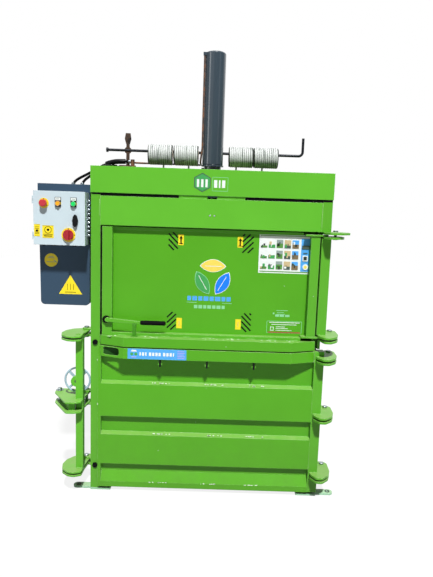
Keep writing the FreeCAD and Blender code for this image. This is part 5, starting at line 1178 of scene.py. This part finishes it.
# %% Weld beads
RIPPLE_PITCH = 5.5      # mm
RIPPLE_SWELL = 0.22     # as a share of the bead's radius
ROPE_SIDES = 8


def bead(name, start, end, radius, finish, body, slot=None):
    """A weld bead, in mm: a half-sunk rope of ripples from start to end."""
    start, end = Vector(start), Vector(end)
    along = (end - start).normalized()
    side = along.orthogonal().normalized()
    other = along.cross(side)
    length = (end - start).length
    count = max(4, int(length / RIPPLE_PITCH * 3))
    mesh = bmesh.new()
    rings = []
    for step in range(count + 1):
        at = start + along * (length * step / count)
        sway = math.sin(step * 2 * math.pi / 3 + 0.4 * math.sin(step * 0.7))
        fat = radius * (1 + RIPPLE_SWELL * sway)
        fat *= min(1.0, 0.45 + 0.3 * min(step, count - step))
        rings.append([mesh.verts.new((at + (side * math.cos(a) + other * math.sin(a)) * fat) * MM)
                      for a in [2 * math.pi * k / ROPE_SIDES for k in range(ROPE_SIDES)]])
    loft(mesh, rings)
    piece(name, mesh, finish, body, slot, smooth=True)


# paler green on the header beads: a painted highlight on their ripples
highlit_pale_bead = powder_coat("painted_highlight_on_weld", "#79C052", 0.3, dusty=False)
header_face = face_of("header_panel", 0)
for side, x, foot, head in (("left", -636, 1652, 1747), ("right", 629, 1625, 1758)):
    bead(f"header_weld_{side}", (x, header_face + 1.2, foot), (x, header_face + 1.2, head), 3.8,
         highlit_pale_bead, "frame", "machine_green")
shelf_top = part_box("feed_shelf")[1].z / MM
shelf_back = face_of("feed_door_frame", 0)
for index in range(9):
    x = -500 + index * 125
    bead(f"shelf_weld_{index + 1}", (x - 24, shelf_back, shelf_top + 0.6),
         (x + 24, shelf_back, shelf_top + 0.6), 2.6, "machine_green", "feed_door")
tube_side, tube_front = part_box("lock_tube")[0].x / MM, face_of("lock_tube", 0)
for index, z in enumerate((143, 114, 574, 505, 964, 935)):
    z += -1.0 if index % 2 else 1.0
    bead(f"lock_weld_{index + 1}", (tube_side + 43, tube_front + 0.5, z),
         (tube_side + 78, tube_front + 0.5, z), 2.8, "machine_green", "lock_bar")
print("beads laid")

# %% [markdown]
# ## Bolts, rivets and washers
# Plated bolts hold the lid of the power unit at its back and the cylinder's flange, and one goes
# through the middle bracket of the lock bar. Dark washers lie on the anchor plates where the
# floor's studs come through, and two domed rivets sit in the header.

# %% Bolts
FLANGE_TOP = 1804       # mm
FLANGE_BOLTS = ((-71, -71), (71, -71), (71, 71), (-71, 71))
ANCHORS = ((-765, -362), (765, -362), (765, 362), (-765, 362))
BRACKET_TIP = Vector((-0.905, -0.262, 0))
cover_low, cover_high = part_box("power_cover")
lid_low, lid_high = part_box("power_lid")
for index, x in enumerate((cover_low.x + 0.05, cover_high.x - 0.06), start=1):
    hexagon_head(f"lid_bolt_{index}", Vector((x, lid_high.y, lid_low.z + 0.022)), (0, 1, 0), 8, 4,
                 "zinc_steel", "frame")
for index, (x, y) in enumerate(FLANGE_BOLTS, start=1):
    hexagon_head(f"flange_bolt_{index}", Vector((x * MM, y * MM, FLANGE_TOP * MM)), (0, 0, 1),
                 19, 9, "zinc_steel", "frame")
anchor_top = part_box("anchor_plates")[1].z
for index, (x, y) in enumerate(ANCHORS, start=1):
    turned(f"anchor_washer_{index}",
           [(9.3, 0), (15, 0), (15, 2), (14.6, 2.4), (9.3, 2.4), (9.3, 0)],
           Vector((x * MM, y * MM, anchor_top)), (0, 0, 1), "dark_steel", "frame", sides=28)
for index, x in enumerate((-10, 16), start=1):
    turned(f"header_rivet_{index}", [(0, 0), (5.2, 0), (4.6, 1.4), (2.6, 2.4), (0, 2.7)],
           Vector((x * MM, header_face * MM, 1.674)), (0, -1, 0), "zinc_steel", "frame", sides=20)
bracket_low, bracket_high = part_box("lock_bracket")
bracket_foot = BRACKET_TIP + Vector((0, 0, bracket_low.z))
hexagon_head("bracket_bolt_head", BRACKET_TIP + Vector((0, 0, bracket_high.z)), (0, 0, 1), 24, 13,
             "zinc_steel", "lock_bar")
hexagon_head("bracket_bolt_nut", bracket_foot, (0, 0, -1), 24, 13, "zinc_steel", "lock_bar")
turned("bracket_bolt_shank",
       [(0, 9.1), (14, 9.1), (14, 12), (8, 12), (8, 48), (14, 48), (14, 59.9), (0, 59.9)],
       bracket_foot, (0, 0, 1), "zinc_steel", "lock_bar", sides=24)
print("bolts set")

# %% [markdown]
# ## Cable glands
# On the side towards the machine each cable leaves the control box through a plated gland, a
# hexagon with a domed nut that squeezes a seal round the cable. Nine of them stand in a row.

# %% Side glands
GLAND_PITCH = 24.2      # mm
gland_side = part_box("control_box")[1].x
for index in range(9):
    at = Vector((gland_side, -0.385, 1.733 - index * GLAND_PITCH * MM))
    hexagon_head(f"side_gland_{index + 1}", at, (1, 0, 0), 18, 6, "zinc_steel", "frame",
                 washer=False)
    turned(f"side_gland_dome_{index + 1}",
           [(0, 0), (7.6, 0), (7.9, 1), (7.9, 6), (6.4, 9), (4, 10), (0, 10)],
           at + Vector((0.0058, 0, 0)), (1, 0, 0), "zinc_steel", "frame", sides=24)
print("glands", GLAND_PITCH, "mm apart")

# %% [markdown]
# ## Painted shade in joints and slots, and a washer
# Black strips paint the shade in the joint under the head, over the posts and over the header,
# and in the gap at the feed door's left side. A dark green sheet paints the shade inside the hand
# slot in the ledge, and three black strips paint the shade between the bars of the strap guides.
# A rubber washer sits behind the latch's eye. All are thin and straight, so pushed outlines give
# them their form.

# %% Painted shade in joints, slot and guides, and the latch washer
post_face = face_of("left_post", 0)
# black strips that paint the shade in the joint under the head, over the posts and the header
slab("joint_painted_shade", [rectangle(-683, -631, 1773, 1783.6), rectangle(631, 683, 1771, 1783.6)],
     post_face - 0.6, post_face + 0.5, "black_rubber", "frame")
slab("header_joint_painted_shade", row(1767.3, 1783.6, ((-630.5, 442), (188.5, 442))), post_face + 1.5,
     post_face + 12, "black_rubber", "frame")
# a black strip that paints the shade in the gap at the feed door's left side
slab("feed_door_gap_painted_shade", [rectangle(-630.8, -620.5, 968, 1594)], post_face + 3, post_face + 30,
     "black_rubber", "frame")
leaf_face = face_of("bale_door_leaf", 0)
# a dark green sheet that paints the shade inside the hand slot
slot_shade_green = moulded_plastic("painted_shade_slot_green", "#1B4A12", 0.6, gloss=0.2)
slab("hand_slot_painted_shade", [rectangle(-617, -503, 843, 902, 4)], leaf_face - 1.6, leaf_face - 0.1,
     slot_shade_green, "bale_door", "black_rubber")
STRAP_PLACES = (-272, 0, 272)       # mm
# black strips that paint the shade between the bars of each strap guide
for index, x in enumerate(STRAP_PLACES, start=1):
    slab(f"strap_guide_painted_shade_{index}", [rectangle(x - 5.6, x + 5.6, 794, 842, 2)], -454, -441,
         "black_plastic", "bale_door")
turned("latch_washer", [(12.6, 0), (20, 0), (21, 1), (21, 10), (20, 11), (12.6, 11), (12.6, 0)],
       Vector((-0.593, -0.4105, 1.060)), (0, -1, 0), "black_rubber", "feed_latch", sides=36)
print("black fittings in place")

# %% [markdown]
# ## Knocks down to the primer
# Bales and boots wear the paint off the folds and the shelf, mostly where the strap is threaded.
# The near-white slivers on the three folds of the bale door, on the shelf and on the stile are
# partly knocks down to the pale primer and partly painted glints of light on those edges. A noise
# in the paint would put them anywhere, so each is a small piece in its place.

# %% Bare spots and painted glints
FOLD_HEIGHTS = (685, 371, 62)           # mm
FOLD_PLACES = (-272, 40, 285)           # mm
SHELF_PLACES = (-560, -335, 11, 132, 350, 464)
STILE_KNOCKS_AND_GLINTS = ((-643, 540, 12), (-644, 812, 6))    # left, foot, height
SLIVER_DEPTH = (leaf_face - 0.5, leaf_face + 0.4)
# near-white slivers: partly knocks to the primer, partly painted glints on the edges
primer_and_glint = moulded_plastic("pale_primer_and_painted_glint", "#F2FCEC", 0.5, grain=5)


def fold_knocks_and_glints(name, z, seed):
    """Slivers along a fold edge at that height, thickest at three places."""
    spots = []
    for index in range(26):
        x = FOLD_PLACES[index % 3] + 60 * math.sin(index * 2.4 + seed) * math.cos(index * 1.3)
        wide = 3 + 5 * abs(math.sin(index * 1.7 + seed))
        half = (1.7 + 1.9 * abs(math.cos(index * 2.9 + seed))) / 2
        at = z + math.sin(index * 5.1)
        spots.append(rectangle(x, x + wide, at - half, at + half, 0.5))
    slab(name, spots, *SLIVER_DEPTH, primer_and_glint, "bale_door")


for index, z in enumerate(FOLD_HEIGHTS):
    fold_knocks_and_glints(f"fold_knocks_and_glints_{index + 1}", z, index * 1.9)
mesh = bmesh.new()
for index in range(34):
    x = SHELF_PLACES[index % 6] + 46 * math.sin(index * 1.9) * math.cos(index * 0.7)
    y = -432 + 12 * math.sin(index * 3.3)
    wide = 4 + 8 * abs(math.sin(index * 1.1))
    deep = 2.2 + 2.6 * abs(math.cos(index * 2.3))
    sliver = rectangle(x, x + wide, y, y + deep, 0.6)
    over, under = [[mesh.verts.new((a * MM, b * MM, (shelf_top + rise) * MM)) for a, b in sliver]
                   for rise in (0.4, -0.2)]
    mesh.faces.new(over)
    mesh.faces.new(list(reversed(under)))
    for i in range(len(sliver)):
        mesh.faces.new((over[i], over[i - 1], under[i - 1], under[i]))
piece("shelf_knocks_and_glints", mesh, primer_and_glint, "feed_door")
slab("stile_knocks_and_glints", [rectangle(x, x + 3, z, z + tall, 1) for x, z, tall in STILE_KNOCKS_AND_GLINTS],
     *SLIVER_DEPTH, primer_and_glint, "bale_door")
print("knocks on 3 folds, the shelf and the stile")
